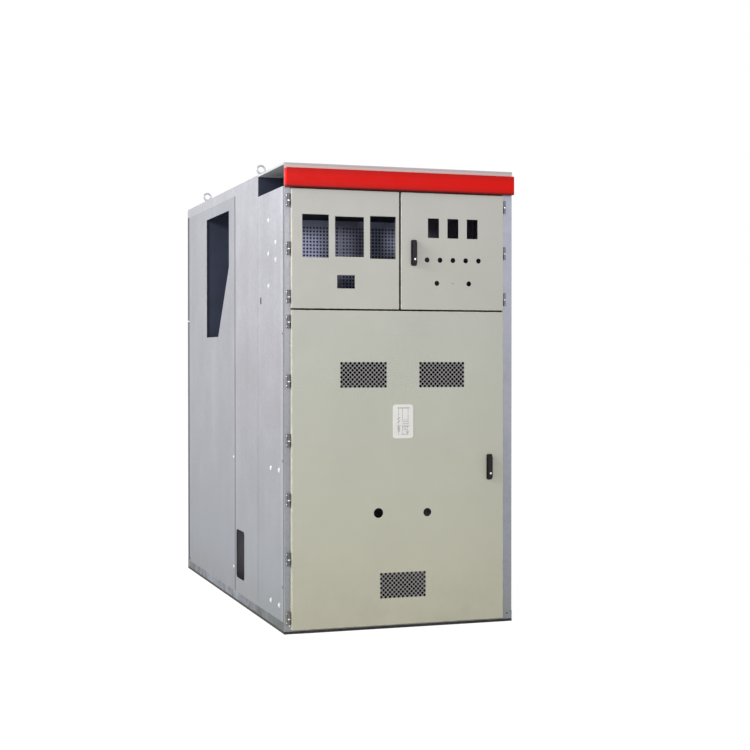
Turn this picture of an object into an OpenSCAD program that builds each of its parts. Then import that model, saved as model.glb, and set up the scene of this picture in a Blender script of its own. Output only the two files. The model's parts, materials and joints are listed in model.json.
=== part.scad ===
// Metal-enclosed withdrawable switchgear cubicle, empty shell with its doors.
// X runs across the front, Y from the front to the rear, Z up from the floor.
// Heights are above the floor; depths are behind the front face of the frame.

/* [Cabinet] */
// Width over the frame
width = 1400; // [1400:50:1800]
// Depth from the front face of the frame to the rear covers
depth = 2800; // [2800:50:3400]
// Height of the roof above the floor
height = 2672; // [2672:25:3250]
// Depth of the front module, up to the seam between the two modules
front_module = 1230; // [1230:10:1500]
// Open seam between the front and rear modules
seam = 10; // [6:1:16]
// Depth of the instrument compartment over the breaker compartment
instrument_depth = 612; // [500:1:760]
// Width of the perforated plate behind the relay windows
relay_plate_w = 890; // [800:10:1200]

/* [Sheet metal] */
// Thickness of the panels, doors and partitions
sheet = 2; // [1.5:0.1:3]
// Thickness of the posts, rails and base channels
frame_sheet = 3; // [2:0.1:4]
// Width of the folded flanges of posts and rails
flange = 45; // [30:1:60]

/* [Base and roof] */
// Height of the black strips under the base
foot_h = 15; // [10:1:30]
// Set-back of the black strips from the cabinet outline
foot_inset = 0; // [0:1:20]
// Width of each black strip
foot_w = 40; // [30:1:60]
// Height of the galvanised base channels
base_h = 50; // [40:1:80]
// Width of the base channels' flanges
base_flange = 55; // [50:1:80]
// Radius of the four anchor holes
anchor_r = 9; // [7:0.5:12]
// Distance of the anchor holes from the front and rear of the frame
anchor_y = 100; // [80:1:200]
// Height of the rear roof's skirt
roof_skirt = 62; // [40:1:90]
// Depth of the flat roof over the wiring duct
duct_roof_h = 12; // [8:1:20]
// Radius of the rear roof's upper rear corner
roof_corner = 22; // [10:1:30]
// Distance of the lifting eyes from the roof's side edges
eye_inset = 40; // [34:1:80]
// Radius of a lifting eye's ring, to the middle of its bar
eye_ring_r = 24; // [20:1:30]
// Radius of the bar that a lifting eye's ring is bent from
eye_bar_r = 6; // [5:0.5:8]

/* [Lintel] */
// Height of the red lintel
lintel_h = 110; // [80:1:140]
// Distance the lintel stands in front of the frame
lintel_proud = 40; // [30:1:60]
// Distance from the roof down to the top of the lintel
lintel_drop = 31; // [20:1:50]
// Radius of the lintel's upright front edges
lintel_corner = 10; // [4:1:15]

/* [Doors] */
// Distance the door faces stand in front of the frame
door_proud = 25; // [20:1:30]
// Open joint between a closed door and the frame behind it
door_joint = 5; // [5:0.5:8]
// Width of the folded lip around the back of a door
door_lip = 16; // [10:1:24]
// Frame left bare beside the left-hand doors
left_strip = 37; // [36:1:50]
// Frame left bare beside the right-hand doors
right_strip = 68; // [40:1:90]
// Width of the front posts
post_w = 68; // [60:1:100]
// Bare corner of the post in front of the side panels
side_lap = 25; // [10:1:30]
// Height of the upper doors
upper_door_h = 677; // [600:1:760]
// Joint between the lintel and the upper doors
lintel_joint = 6; // [5:1:12]
// Level joint between the upper doors and the main door
level_joint = 10; // [8:1:16]
// Upright joint between the two upper doors
middle_joint = 12; // [8:1:20]
// Height of the main door's lower edge
main_door_z = 25; // [20:1:50]
// Width of the relay door, on the upper left
relay_door_w = 643; // [620:1:760]

/* [Door cut-outs] */
// Width of the two outer relay windows
relay_w = 157; // [100:1:160]
// Height of the two outer relay windows
relay_h = 245; // [160:1:280]
// Width of the middle relay window
mid_relay_w = 173; // [100:1:200]
// Height of the middle relay window
mid_relay_h = 229; // [160:1:280]
// Distance from the door's upper edge to the middle of the relay windows
relay_drop = 266; // [200:1:300]
// Margin left of the first relay window
relay_left = 62; // [40:1:80]
// Margin right of the last relay window
relay_right = 20; // [15:1:60]
// Width of the small meter window
meter_w = 106; // [60:1:140]
// Height of the small meter window
meter_h = 77; // [50:1:90]
// Height of the middle of the meter window above the door's lower edge
meter_rise = 154; // [100:1:180]
// Distance of the meter window left of the middle relay window's centre
meter_shift = 21; // [0:1:60]
// Distance of the control door's pattern from the door's centre
switch_shift = 1; // [0:1:20]
// Width of each of the three switch cut-outs
switch_w = 69; // [40:1:80]
// Height of each of the three switch cut-outs
switch_h = 114; // [80:1:140]
// Spacing of the three switch cut-outs
switch_pitch = 121.5; // [100:0.5:150]
// Distance from the door's upper edge to the middle of the switch cut-outs
switch_drop = 203; // [150:1:240]
// Radius of the lamp and button holes
lamp_r = 15; // [8:0.25:16]
// Spacing of the row of five lamp holes
lamp_pitch = 80.5; // [50:0.5:100]
// Distance from the door's upper edge to the row of lamp holes
lamp_drop = 388; // [330:1:420]
// Spacing of the pair of button holes
button_pitch = 200; // [100:1:260]
// Distance from the door's upper edge to the pair of button holes
button_drop = 523; // [480:1:600]
// Radius of the small hole between the button holes
pilot_r = 3; // [2:0.5:5]
// Spacing of the grille holes, across and down
grille_pitch = 26.5; // [22:0.5:30]
// Radius of the grille holes
grille_r = 8; // [3:0.5:9]
// Columns of grille holes in the full rows
grille_cols = 11; // [5:1:13]
// Full rows of grille holes
grille_rows = 6; // [3:1:8]
// Distance of the two upper grilles from the centre of the door pattern
grille_x = 240; // [180:1:280]
// Distance from the main door's upper edge to the middle of the upper grilles
grille_drop = 368; // [250:1:400]
// Height of the middle of the lower grille above the main door's lower edge
grille_rise = 228; // [150:1:300]
// Place of the main door's pattern across the front
pattern_x = 4; // [-20:1:20]
// Radius of the left viewing hole
view_hole_r = 28.5; // [20:0.5:35]
// Radius of the right operating hole
crank_hole_r = 24.5; // [15:0.5:30]
// Distance of the two round holes from the pattern's centre
round_hole_x = 150; // [100:1:200]
// Height of the viewing hole above the main door's lower edge
round_hole_rise = 649; // [500:1:800]
// Distance of the operating hole below the level of the viewing hole
crank_drop = 5; // [0:1:20]

/* [Diagram plate] */
// Width of the diagram plate
plate_w = 124; // [80:1:160]
// Height of the diagram plate
plate_h = 196; // [120:1:240]
// Thickness of the diagram plate
plate_t = 2; // [1:0.5:3]
// Corner radius of the diagram plate
plate_corner = 12; // [4:1:20]
// Distance from the main door's upper edge to the middle of the plate
plate_drop = 638; // [550:1:700]

/* [Handles] */
// Width of a handle's base plate
handle_w = 34; // [30:1:48]
// Height of a handle's base plate
handle_h = 150; // [130:1:170]
// Thickness of a handle's base plate
handle_base_t = 8; // [5:1:12]
// Free space between a lever and its base plate
handle_gap = 5; // [5:0.5:8]
// Width of a lever
lever_w = 24; // [22:1:32]
// Thickness of a lever
lever_t = 14; // [12:1:18]
// Distance of the pivot below the top of the base plate
pivot_drop = 20; // [16:1:26]
// Radius of the turning spindle
spindle_r = 8; // [6:0.5:10]
// Radius of the pin on which a lever lifts
lift_pin_r = 2; // [1.5:0.5:3]
// Radius of the key cylinder's seat in a lever
key_r = 6.5; // [5:0.5:9]
// Distance of the key cylinder below the pivot
key_drop = 92; // [60:1:100]
// Distance of the main handle from the main door's free edge
main_handle_inset = 89; // [60:1:120]
// Height of the main handle's middle above the main door's lower edge
main_handle_rise = 900; // [700:1:1100]
// Distance of the control handle from the control door's free edge
control_handle_inset = 77; // [60:1:110]
// Height of the control handle's middle above the control door's lower edge
control_handle_rise = 328; // [250:1:400]

/* [Hinges] */
// Length of a hinge
hinge_l = 74; // [60:1:100]
// Radius of the hinge knuckles
knuckle_r = 7; // [6:0.5:8]
// Radius of the hinge pins
pin_r = 3.5; // [3:0.5:4]
// Radial clearance of every pin in its bore
pin_clearance = 0.08; // [0.05:0.01:0.1]
// Distance of the hinge axis from the door's edge
hinge_offset = 13; // [12:1:16]
// Distance of the hinge axis in front of the frame
hinge_proud = 14; // [13:1:18]
// Margin from a door's corner to the middle of the nearest hinge
hinge_margin = 66; // [45:1:120]
// Hinges on the main door
main_hinges = 6; // [3:1:8]
// Hinges on each upper door
upper_hinges = 3; // [2:1:4]

/* [Side openings] */
// Distance of the busbar opening behind the seam
busbar_y = 170; // [120:1:220]
// Length of the busbar opening
busbar_l = 705; // [600:1:760]
// Length of the busbar opening's lower edge
busbar_low_l = 375; // [300:1:400]
// Distance from the roof to the busbar opening's upper edge
busbar_top = 137; // [100:1:180]
// Distance from the roof to the top of the opening's slanted edge
busbar_knee = 507; // [450:1:600]
// Distance from the roof to the busbar opening's lower edge
busbar_low = 960; // [900:1:1000]
// Margin from the busbar opening to the chamber's walls
busbar_margin = 10; // [5:1:20]
// Distance of the wiring slot behind the front
slot_y = 980; // [900:1:990]
// Length of the wiring slot
slot_l = 220; // [120:1:230]
// Height of the wiring slot's lower edge
slot_z = 161; // [140:1:240]
// Height of the wiring slot
slot_h = 309; // [200:1:320]
// Corner radius of the wiring slot
slot_corner = 25; // [10:1:40]
// Distance from the roof to the wiring duct's floor
duct_drop = 132; // [110:1:150]
// Height of the lowest joining hole above the base
join_low = 197; // [150:1:300]
// Height of the middle joining hole above the base
join_mid = 915; // [800:1:1000]
// Height of the highest joining hole above the base
join_high = 1640; // [1500:1:1700]
// Radius of the joining holes along the front edge and of the earthing hole
join_r = 7; // [4:0.5:8]
// Distance of the joining holes behind the front
join_y = 40; // [30:1:44]
// Distance of the earthing hole from the rear edge of the side panel
earth_inset = 35; // [20:1:60]
// Height of the earthing hole above the base
earth_rise = 18; // [14:1:40]
// Radius of the earthing hole
earth_r = 9; // [5:0.5:12]

/* [Rear covers] */
// Depth of the folded rear covers
cover_t = 30; // [20:1:40]
// Length of the groove between the side panels and the rear covers
groove = 25; // [15:1:40]
// Depth of that groove
groove_d = 6; // [3:1:10]

/* [Hidden] */

$fn = 48;
hw = width / 2;
through = 20;

// Overall reach in front of and behind the frame, which centres the box on the origin
lever_back = door_proud + handle_base_t + handle_gap;
front_reach = lever_back + lever_t;
rear_bolt_reach = 6;
front_y = -(front_reach + depth + rear_bolt_reach) / 2 + front_reach;

// Heights
base_z = foot_h + base_h;
lintel_z = height - lintel_drop - lintel_h;
upper_top = lintel_z - lintel_joint;
upper_z = upper_top - upper_door_h;
main_top = upper_z - level_joint;
main_h = main_top - main_door_z;
floor_z = base_z + sheet;
instrument_z = (upper_z + main_top) / 2;
duct_z = height - duct_drop;
skirt_z = height - roof_skirt;

// Door edges across the front
door_l = -hw + left_strip;
door_r = hw - right_strip;
upper_split_l = door_l + relay_door_w;
upper_split_r = upper_split_l + middle_joint;
control_door_w = door_r - upper_split_r;
main_w = door_r - door_l;
door_depth = door_proud - door_joint;

// Depths of the rear module
rear_y = front_module + seam;
middle_beam_y = front_module + seam / 2;
cover_y = depth - cover_t;
side_end = cover_y - groove;

// Busbar chamber
bus_y0 = rear_y + busbar_y;
bus_y1 = bus_y0 + busbar_l;
bus_knee_y = bus_y1 - busbar_low_l;
bus_top_z = height - busbar_top;
bus_knee_z = height - busbar_knee;
bus_low_z = height - busbar_low;
chamber_front = bus_y0 - busbar_margin;
chamber_rear = bus_y1 + busbar_margin;
chamber_low = bus_low_z - busbar_margin;
chamber_knee_z = bus_knee_z - busbar_margin / 2;
chamber_toe_y = bus_knee_y - busbar_margin / 2;

// Handles
lift_y = -lever_back - lever_t / 2;
lever_below = handle_h - 2 * pivot_drop + lever_t / 2;
tongue_w = 8;
tongue_r = 5;
cheek_gap = 1;
key_seat = 2;
main_handle_x = door_r - main_handle_inset;
main_pivot_z = main_door_z + main_handle_rise + handle_h / 2 - pivot_drop;
control_handle_x = upper_split_r + control_handle_inset;
control_pivot_z = upper_z + control_handle_rise + handle_h / 2 - pivot_drop;

// Hinges
left_axis_x = door_l - hinge_offset;
right_axis_x = door_r + hinge_offset;
knuckle_gap = 2;
leaf_t = 3;
leaf_w = 28;
arm_t = 4;

// Small fixings
bolt_r = 9;
bolt_h = 5;
washer_r = 12;
washer_h = 1;
base_hole_r = 5;
cover_bolt_inset = 60;
rear_cover_spans = [[base_z, main_top], [upper_z, skirt_z]];

// Inner sheet work
strip_gap = 2;
post_return = flange - 10;
rail_lap = 25;
rail_w = 30;
grommet_w = 26;
grommet_h = 40;
grommet_inset = 67;
truck_rail_x = 370;
truck_rail_w = 50;
truck_rail_h = 35;
truck_rail_margin = 30;

panel_colour = "#BBB9B0";
zinc_colour = "#C4C4CA";
dull_zinc_colour = "#8A8F90";
red_colour = "#D3241A";
black_colour = "#1E1E20";

function spread(first, last, count) =
    [for (i = [0 : count - 1]) first + (last - first) * i / (count - 1)];

function hinge_heights(z0, z1, count) =
    spread(z0 + hinge_margin, z1 - hinge_margin, count);

main_hinge_z = hinge_heights(main_door_z, main_top, main_hinges);
upper_hinge_z = hinge_heights(upper_z, upper_top, upper_hinges);

// Puts depth 0 on the front face of the frame
module on_frame() {
    translate([0, front_y, 0]) children();
}

// A block given by its low and high corners
module block(low, high) {
    translate(low) cube(high - low);
}

// The same children on the left and on the right
module both_sides() {
    children();
    mirror([1, 0, 0]) children();
}

// A plane profile drawn as (depth, height), extruded across the cabinet
module across(x0, x1) {
    translate([x0, 0, 0]) rotate([90, 0, 90]) linear_extrude(x1 - x0) children();
}

// A drilling along Y through a door skin
module front_hole(x, z, r) {
    translate([x, -door_proud - through, z]) rotate([-90, 0, 0]) cylinder(r = r, h = 2 * through);
}

// A rectangular cut-out through a door skin, given by its centre
module front_cut(x, z, w, h) {
    block([x - w / 2, -door_proud - through, z - h / 2], [x + w / 2, -door_proud + through / 2, z + h / 2]);
}

// A rectangle with round corners, centred
module rounded_rectangle(w, h, r) {
    square([w - 2 * r, h], center = true);
    square([w, h - 2 * r], center = true);
    for (x = [-1, 1], y = [-1, 1])
        translate([x * (w / 2 - r), y * (h / 2 - r)]) circle(r);
}

// Base

module anchor_holes() {
    for (x = [-1, 1], y = [anchor_y, depth - anchor_y])
        translate([x * (hw - foot_inset - foot_w / 2), y, -through])
            cylinder(r = anchor_r, h = foot_h + 1.5 * through);
}

// The cross strips stop short of the long ones by strip_gap
module foot_strips() {
    x_long = hw - foot_inset - foot_w;
    color(black_colour) on_frame() {
        difference() {
            both_sides() block([-hw + foot_inset, foot_inset, 0], [-x_long, depth - foot_inset, foot_h]);
            anchor_holes();
        }
        for (y = [foot_inset, middle_beam_y - foot_w / 2, depth - foot_inset - foot_w])
            block([-x_long + strip_gap, y, 0], [x_long - strip_gap, y + foot_w, foot_h]);
    }
}

// A channel lying along X, with its web at one depth and open at the other
module cross_channel(y_web, y_open, half_l) {
    inner = y_open > y_web ? y_web + frame_sheet : y_web - frame_sheet;
    past = 2 * y_open - y_web;
    difference() {
        block([-half_l, min(y_web, y_open), foot_h], [half_l, max(y_web, y_open), base_z]);
        block([-half_l - 1, min(inner, past), foot_h + frame_sheet],
              [half_l + 1, max(inner, past), base_z - frame_sheet]);
    }
}

// Front and rear channels between the webs of the side ones, and a middle one between their flanges
module base_cross_beams() {
    color(dull_zinc_colour) on_frame() {
        difference() {
            cross_channel(0, base_flange, hw - frame_sheet);
            for (x = [-1, 1])
                translate([x * (hw - post_w / 2 + frame_sheet), -1, base_z - base_h / 3])
                    rotate([-90, 0, 0]) cylinder(r = base_hole_r, h = frame_sheet + 2);
        }
        cross_channel(middle_beam_y + base_flange / 2, middle_beam_y - base_flange / 2, hw - base_flange);
        cross_channel(depth, depth - base_flange, hw - frame_sheet);
    }
}

// The webs run the whole depth and cover the ends of the cross channels
module base_side_channels() {
    color(dull_zinc_colour) on_frame() difference() {
        both_sides() {
            block([-hw, 0, foot_h], [-hw + frame_sheet, depth, base_z]);
            for (z = [foot_h, base_z - frame_sheet])
                block([-hw, base_flange, z], [-hw + base_flange, depth - base_flange, z + frame_sheet]);
        }
        anchor_holes();
    }
}

module floor_plates() {
    color(zinc_colour) on_frame() {
        block([-hw + sheet, frame_sheet, base_z], [hw - sheet, front_module, floor_z]);
        block([-hw + sheet, rear_y, base_z], [hw - sheet, cover_y, floor_z]);
    }
}

// Frame

// Holes through which the next cubicle is bolted on, along the front edge
module join_holes() {
    for (rise = [join_low, join_mid, join_high])
        translate([-hw - 1, join_y, base_z + rise]) rotate([0, 90, 0])
            cylinder(r = join_r, h = sheet + frame_sheet + 2);
}

// Folded from one sheet; the side panel laps over its side flange
module front_post() {
    difference() {
        union() {
            block([-hw + sheet, 0, base_z], [-hw + post_w, frame_sheet, duct_z]);
            block([-hw + sheet, 0, floor_z],
                  [-hw + sheet + frame_sheet, frame_sheet + flange, duct_z - sheet]);
            block([-hw + post_w - frame_sheet, 0, floor_z], [-hw + post_w, post_return, duct_z - sheet]);
        }
        join_holes();
    }
}

module front_posts() {
    color(zinc_colour) on_frame() both_sides() front_post();
}

module rear_posts() {
    color(dull_zinc_colour) on_frame() both_sides() difference() {
        block([-hw + groove_d, side_end, floor_z], [-hw + groove_d + flange, cover_y, skirt_z]);
        block([-hw + groove_d + frame_sheet, side_end - 1, floor_z - 1],
              [-hw + groove_d + flange + 1, cover_y - frame_sheet, skirt_z + 1]);
    }
}

// A rail between the front posts, open towards the rear
module front_rail(z0, z1) {
    difference() {
        block([-hw + post_w, 0, z0], [hw - post_w, post_return, z1]);
        block([-hw + post_w - 1, frame_sheet, z0 + frame_sheet],
              [hw - post_w + 1, post_return + 1, z1 - frame_sheet]);
    }
}

module front_rails() {
    color(zinc_colour) on_frame() {
        front_rail(upper_top - rail_lap, duct_z - sheet);
        front_rail(instrument_z - rail_lap, instrument_z - sheet);
    }
}

module duct_front_plate() {
    color(panel_colour) on_frame() block([-hw, 0, duct_z], [hw, frame_sheet, height - duct_roof_h]);
}

// Side panels

module front_side() {
    difference() {
        across(-hw, -hw + sheet) difference() {
            polygon([
                [side_lap, base_z], [front_module, base_z], [front_module, skirt_z],
                [instrument_depth, skirt_z], [instrument_depth, duct_z], [side_lap, duct_z]
            ]);
            translate([slot_y + slot_l / 2, slot_z + slot_h / 2])
                rounded_rectangle(slot_l, slot_h, slot_corner);
            translate([instrument_depth - grommet_inset, instrument_z + grommet_inset])
                square([grommet_w, grommet_h], center = true);
        }
        join_holes();
    }
}

module rear_side() {
    across(-hw, -hw + sheet) difference() {
        polygon([[rear_y, base_z], [side_end, base_z], [side_end, skirt_z], [rear_y, skirt_z]]);
        polygon([
            [bus_y1, bus_low_z], [bus_y1, bus_top_z], [bus_y0, bus_top_z],
            [bus_y0, bus_knee_z], [bus_knee_y, bus_low_z]
        ]);
        translate([side_end - earth_inset, base_z + earth_rise]) circle(earth_r);
    }
}

module left_front_side() {
    color(zinc_colour) on_frame() front_side();
}

module right_front_side() {
    color(zinc_colour) on_frame() mirror([1, 0, 0]) front_side();
}

module left_rear_side() {
    color(zinc_colour) on_frame() rear_side();
}

module right_rear_side() {
    color(zinc_colour) on_frame() mirror([1, 0, 0]) rear_side();
}

// Bolts that carry the inner rails, as (depth, height)
side_bolt_places = [
    [350, upper_top - 150], [185, upper_top - 290], [355, upper_top - 345],
    [185, upper_top - 390], [350, upper_top - 535],
    [300, base_z + 860], [110, base_z + 860], [300, base_z + 85], [110, base_z + 85]
];

// Hexagon bolt with its washer, standing up from the origin
module panel_bolt() {
    cylinder(r = washer_r, h = washer_h);
    cylinder(r = bolt_r, h = washer_h + bolt_h, $fn = 6);
}

module panel_bolts() {
    color("silver") on_frame() {
        both_sides() for (p = side_bolt_places)
            translate([-hw, p[0], p[1]]) rotate([0, -90, 0]) panel_bolt();
        for (span = rear_cover_spans, x = [-hw + cover_bolt_inset, 0, hw - cover_bolt_inset],
             z = [span[0] + cover_bolt_inset, (span[0] + span[1]) / 2, span[1] - cover_bolt_inset])
            translate([x, depth, z]) rotate([-90, 0, 0]) panel_bolt();
    }
}

// Compartments

module instrument_floor() {
    color(zinc_colour) on_frame()
        block([-hw + sheet, frame_sheet + flange, instrument_z - sheet],
              [hw - sheet, instrument_depth, instrument_z]);
}

module instrument_rear_wall() {
    color(zinc_colour) on_frame()
        block([-hw + sheet, instrument_depth, instrument_z - sheet],
              [hw - sheet, instrument_depth + sheet, height - sheet]);
}

module duct_floor() {
    color(zinc_colour) on_frame()
        block([-hw + sheet, frame_sheet, duct_z - sheet], [hw - sheet, instrument_depth, duct_z]);
}

plate_x0 = -hw + 60;
plate_x1 = plate_x0 + relay_plate_w;
plate_y = instrument_depth - 50;
plate_z0 = instrument_z + 40;
plate_z1 = duct_z - 135;

module mounting_rails() {
    color(zinc_colour) on_frame()
        for (x = [plate_x0 + 70, (plate_x0 + plate_x1) / 2, plate_x1 - 40])
            difference() {
                block([x - rail_w / 2, plate_y + sheet, plate_z0],
                      [x + rail_w / 2, instrument_depth, plate_z1]);
                block([x - rail_w / 2 + sheet, plate_y + 2 * sheet, plate_z0 - 1],
                      [x + rail_w / 2 - sheet, instrument_depth + 1, plate_z1 + 1]);
            }
}

module mounting_plate() {
    color("#9A9AA2") on_frame()
        block([plate_x0, plate_y, plate_z0], [plate_x1, plate_y + sheet, plate_z1]);
}

// The rear wall of the front module and the front wall of the rear module
module module_walls() {
    color(zinc_colour) on_frame()
        for (y = [front_module - sheet, rear_y])
            block([-hw + sheet, y, floor_z], [hw - sheet, y + sheet, height - sheet]);
}

// Angles on which the wheels of a withdrawable truck run
module truck_rails() {
    y0 = 2 * truck_rail_margin;
    y1 = front_module - truck_rail_margin;
    x0 = -truck_rail_x - truck_rail_w;
    color(dull_zinc_colour) on_frame() both_sides() {
        block([x0, y0, floor_z], [-truck_rail_x, y1, floor_z + frame_sheet]);
        block([x0, y0, floor_z], [x0 + frame_sheet, y1, floor_z + truck_rail_h]);
    }
}

module busbar_front_wall() {
    color(zinc_colour) on_frame()
        block([-hw + sheet, chamber_front - sheet, chamber_knee_z],
              [hw - sheet, chamber_front, height - sheet]);
}

module busbar_slant_wall() {
    color(zinc_colour) on_frame() across(-hw + sheet, hw - sheet)
        polygon([
            [chamber_front - sheet, chamber_knee_z], [chamber_front, chamber_knee_z],
            [chamber_toe_y, chamber_low], [chamber_toe_y, chamber_low - sheet],
            [chamber_toe_y - sheet, chamber_low - sheet]
        ]);
}

module busbar_floor() {
    color(zinc_colour) on_frame()
        block([-hw + sheet, chamber_toe_y, chamber_low - sheet], [hw - sheet, chamber_rear, chamber_low]);
}

module busbar_rear_wall() {
    color(zinc_colour) on_frame()
        block([-hw + sheet, chamber_rear, floor_z], [hw - sheet, chamber_rear + sheet, height - sheet]);
}

// Roof

module front_roof() {
    color(panel_colour) on_frame() difference() {
        block([-hw, 0, height - duct_roof_h], [hw, instrument_depth, height]);
        block([-hw + sheet, sheet, height - duct_roof_h - 1],
              [hw - sheet, instrument_depth - sheet, height - sheet]);
    }
}

// Side view of the rear roof, with its upper rear corner rounded
module roof_profile(inset) {
    y0 = instrument_depth + inset;
    y1 = depth - inset;
    z1 = height - inset;
    r = roof_corner - inset;
    z0 = skirt_z - inset;
    translate([y0, z0]) square([y1 - y0 - r, z1 - z0]);
    translate([y0, z0]) square([y1 - y0, z1 - r - z0]);
    translate([y1 - r, z1 - r]) circle(r);
}

module rear_roof() {
    color(zinc_colour) on_frame() difference() {
        across(-hw, hw) roof_profile(0);
        across(-hw + sheet, hw - sheet) roof_profile(sheet);
        block([-hw + sheet, instrument_depth - 1, skirt_z - 1],
              [hw - sheet, instrument_depth + 2 * sheet, height - sheet]);
    }
}

flap_margin = 60;
flap_side_margin = 220;
flap_spans = [
    [instrument_depth + 2 * flap_margin, front_module - flap_margin],
    [chamber_front + flap_margin, chamber_rear - flap_margin],
    [chamber_rear + flap_margin, side_end - flap_margin]
];

// Loose-fastened plates that lift under gas pressure, one over each compartment
module relief_flaps() {
    color(zinc_colour) on_frame()
        for (span = flap_spans)
            block([-hw + flap_side_margin, span[0], height],
                  [hw - flap_side_margin, span[1], height + sheet]);
}

eye_pad_w = 50;
eye_pad_h = 6;
eye_collar_r = 14;
eye_collar_h = 12;
eye_sink = 3;
eye_places = [instrument_depth + 88, chamber_rear + 155];

// Ring bolts across the cabinet, each screwed down on a square pad
module lifting_eyes() {
    ring_z = eye_pad_h + eye_collar_h + eye_ring_r + eye_bar_r - eye_sink;
    color("silver") on_frame() both_sides()
        for (y = eye_places)
            translate([-hw + eye_inset, y, height]) {
                block([-eye_pad_w / 2, -eye_pad_w / 2, 0], [eye_pad_w / 2, eye_pad_w / 2, eye_pad_h]);
                translate([0, 0, eye_pad_h]) cylinder(r = eye_collar_r, h = eye_collar_h);
                translate([0, 0, ring_z]) rotate([90, 0, 0])
                    rotate_extrude() translate([eye_ring_r, 0]) circle(eye_bar_r, $fn = 24);
            }
}

// Front

module lintel_outline(inset) {
    w = width - 2 * inset;
    d = lintel_proud;
    r = lintel_corner - inset;
    translate([-w / 2 + r, inset - d]) square([w - 2 * r, d + 1]);
    translate([-w / 2, inset + r - d]) square([w, d + 1]);
    for (x = [-w / 2 + r, w / 2 - r])
        translate([x, inset + r - d]) circle(r);
}

module lintel() {
    color(red_colour) on_frame() difference() {
        translate([0, 0, lintel_z]) linear_extrude(lintel_h) lintel_outline(0);
        translate([0, 0, lintel_z + sheet]) linear_extrude(lintel_h - 2 * sheet) lintel_outline(sheet);
        block([-hw - 1, 0, lintel_z - 1], [hw + 1, lintel_proud, lintel_z + lintel_h + 1]);
    }
}

// A folded tray, open at the back, with a lip around its rear edge
module door_pan(x0, x1, z0, z1) {
    block_low = [x0, -door_proud, z0];
    rim = sheet + door_lip;
    difference() {
        block(block_low, [x1, -door_joint, z1]);
        block([x0 + sheet, -door_proud + sheet, z0 + sheet], [x1 - sheet, -door_joint - sheet, z1 - sheet]);
        block([x0 + rim, -door_proud + sheet, z0 + rim], [x1 - rim, 0, z1 - rim]);
    }
}

// One punched grille: full rows with staggered rows between them
module grille(x, z) {
    for (row = [0 : grille_rows - 1], col = [0 : grille_cols - 1])
        front_hole(x + (col - (grille_cols - 1) / 2) * grille_pitch,
                   z + (row - (grille_rows - 1) / 2) * grille_pitch, grille_r);
    for (row = [0 : grille_rows - 2], col = [0 : grille_cols - 2])
        front_hole(x + (col - (grille_cols - 2) / 2) * grille_pitch,
                   z + (row - (grille_rows - 2) / 2) * grille_pitch, grille_r);
}

module main_door() {
    color(panel_colour) on_frame() difference() {
        door_pan(door_l, door_r, main_door_z, main_top);
        grille(pattern_x - grille_x, main_top - grille_drop);
        grille(pattern_x + grille_x, main_top - grille_drop);
        grille(pattern_x, main_door_z + grille_rise);
        front_hole(pattern_x - round_hole_x, main_door_z + round_hole_rise, view_hole_r);
        front_hole(pattern_x + round_hole_x, main_door_z + round_hole_rise - crank_drop, crank_hole_r);
    }
}

stiffener_w = 50;
stiffener_x = 430;

// Upright channels inside the main door, outside its grilles
module main_door_stiffeners() {
    color(zinc_colour) on_frame()
        for (x = [pattern_x - stiffener_x, pattern_x + stiffener_x])
            difference() {
                block([x - stiffener_w / 2, -door_proud + sheet, main_door_z + door_lip + 2 * sheet],
                      [x + stiffener_w / 2, -door_joint - sheet, main_top - door_lip - 2 * sheet]);
                block([x - stiffener_w / 2 + sheet, -door_proud + 2 * sheet, main_door_z],
                      [x + stiffener_w / 2 - sheet, 0, main_top]);
            }
}

module diagram_plate() {
    color("white") on_frame()
        translate([pattern_x, -door_proud, main_top - plate_drop]) rotate([90, 0, 0])
            linear_extrude(plate_t) rounded_rectangle(plate_w, plate_h, plate_corner);
}

relay_z = upper_top - relay_drop;
first_relay_x = door_l + relay_left + relay_w / 2;
last_relay_x = upper_split_l - relay_right - relay_w / 2;
mid_relay_x = (first_relay_x + last_relay_x) / 2;

module relay_door() {
    color(panel_colour) on_frame() difference() {
        door_pan(door_l, upper_split_l, upper_z, upper_top);
        front_cut(first_relay_x, relay_z, relay_w, relay_h);
        front_cut(mid_relay_x, relay_z, mid_relay_w, mid_relay_h);
        front_cut(last_relay_x, relay_z, relay_w, relay_h);
        front_cut(mid_relay_x - meter_shift, upper_z + meter_rise, meter_w, meter_h);
    }
}

control_x = (upper_split_r + door_r) / 2 + switch_shift;

module control_door() {
    color(panel_colour) on_frame() difference() {
        door_pan(upper_split_r, door_r, upper_z, upper_top);
        for (i = [-1 : 1])
            front_cut(control_x + i * switch_pitch, upper_top - switch_drop, switch_w, switch_h);
        for (i = [-2 : 2])
            front_hole(control_x + i * lamp_pitch, upper_top - lamp_drop, lamp_r);
        for (i = [-0.5, 0.5])
            front_hole(control_x + i * button_pitch, upper_top - button_drop, lamp_r);
        front_hole(control_x, upper_top - button_drop, pilot_r);
    }
}

// Rear covers

module rear_covers() {
    color(panel_colour) on_frame()
        for (span = rear_cover_spans)
            difference() {
                block([-hw, cover_y, span[0]], [hw, depth, span[1]]);
                block([-hw + sheet, cover_y - 1, span[0] + sheet],
                      [hw - sheet, depth - sheet, span[1] - sheet]);
            }
}

// Handles, drawn with the pivot at the origin and the lever hanging down

module handle_base() {
    difference() {
        translate([0, -door_proud, pivot_drop - handle_h / 2]) rotate([90, 0, 0])
            linear_extrude(handle_base_t) rounded_rectangle(handle_w, handle_h, handle_w / 4);
        translate([0, -door_proud - handle_base_t - 1, 0]) rotate([-90, 0, 0])
            cylinder(r = spindle_r + pin_clearance, h = handle_base_t + 2);
    }
}

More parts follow.
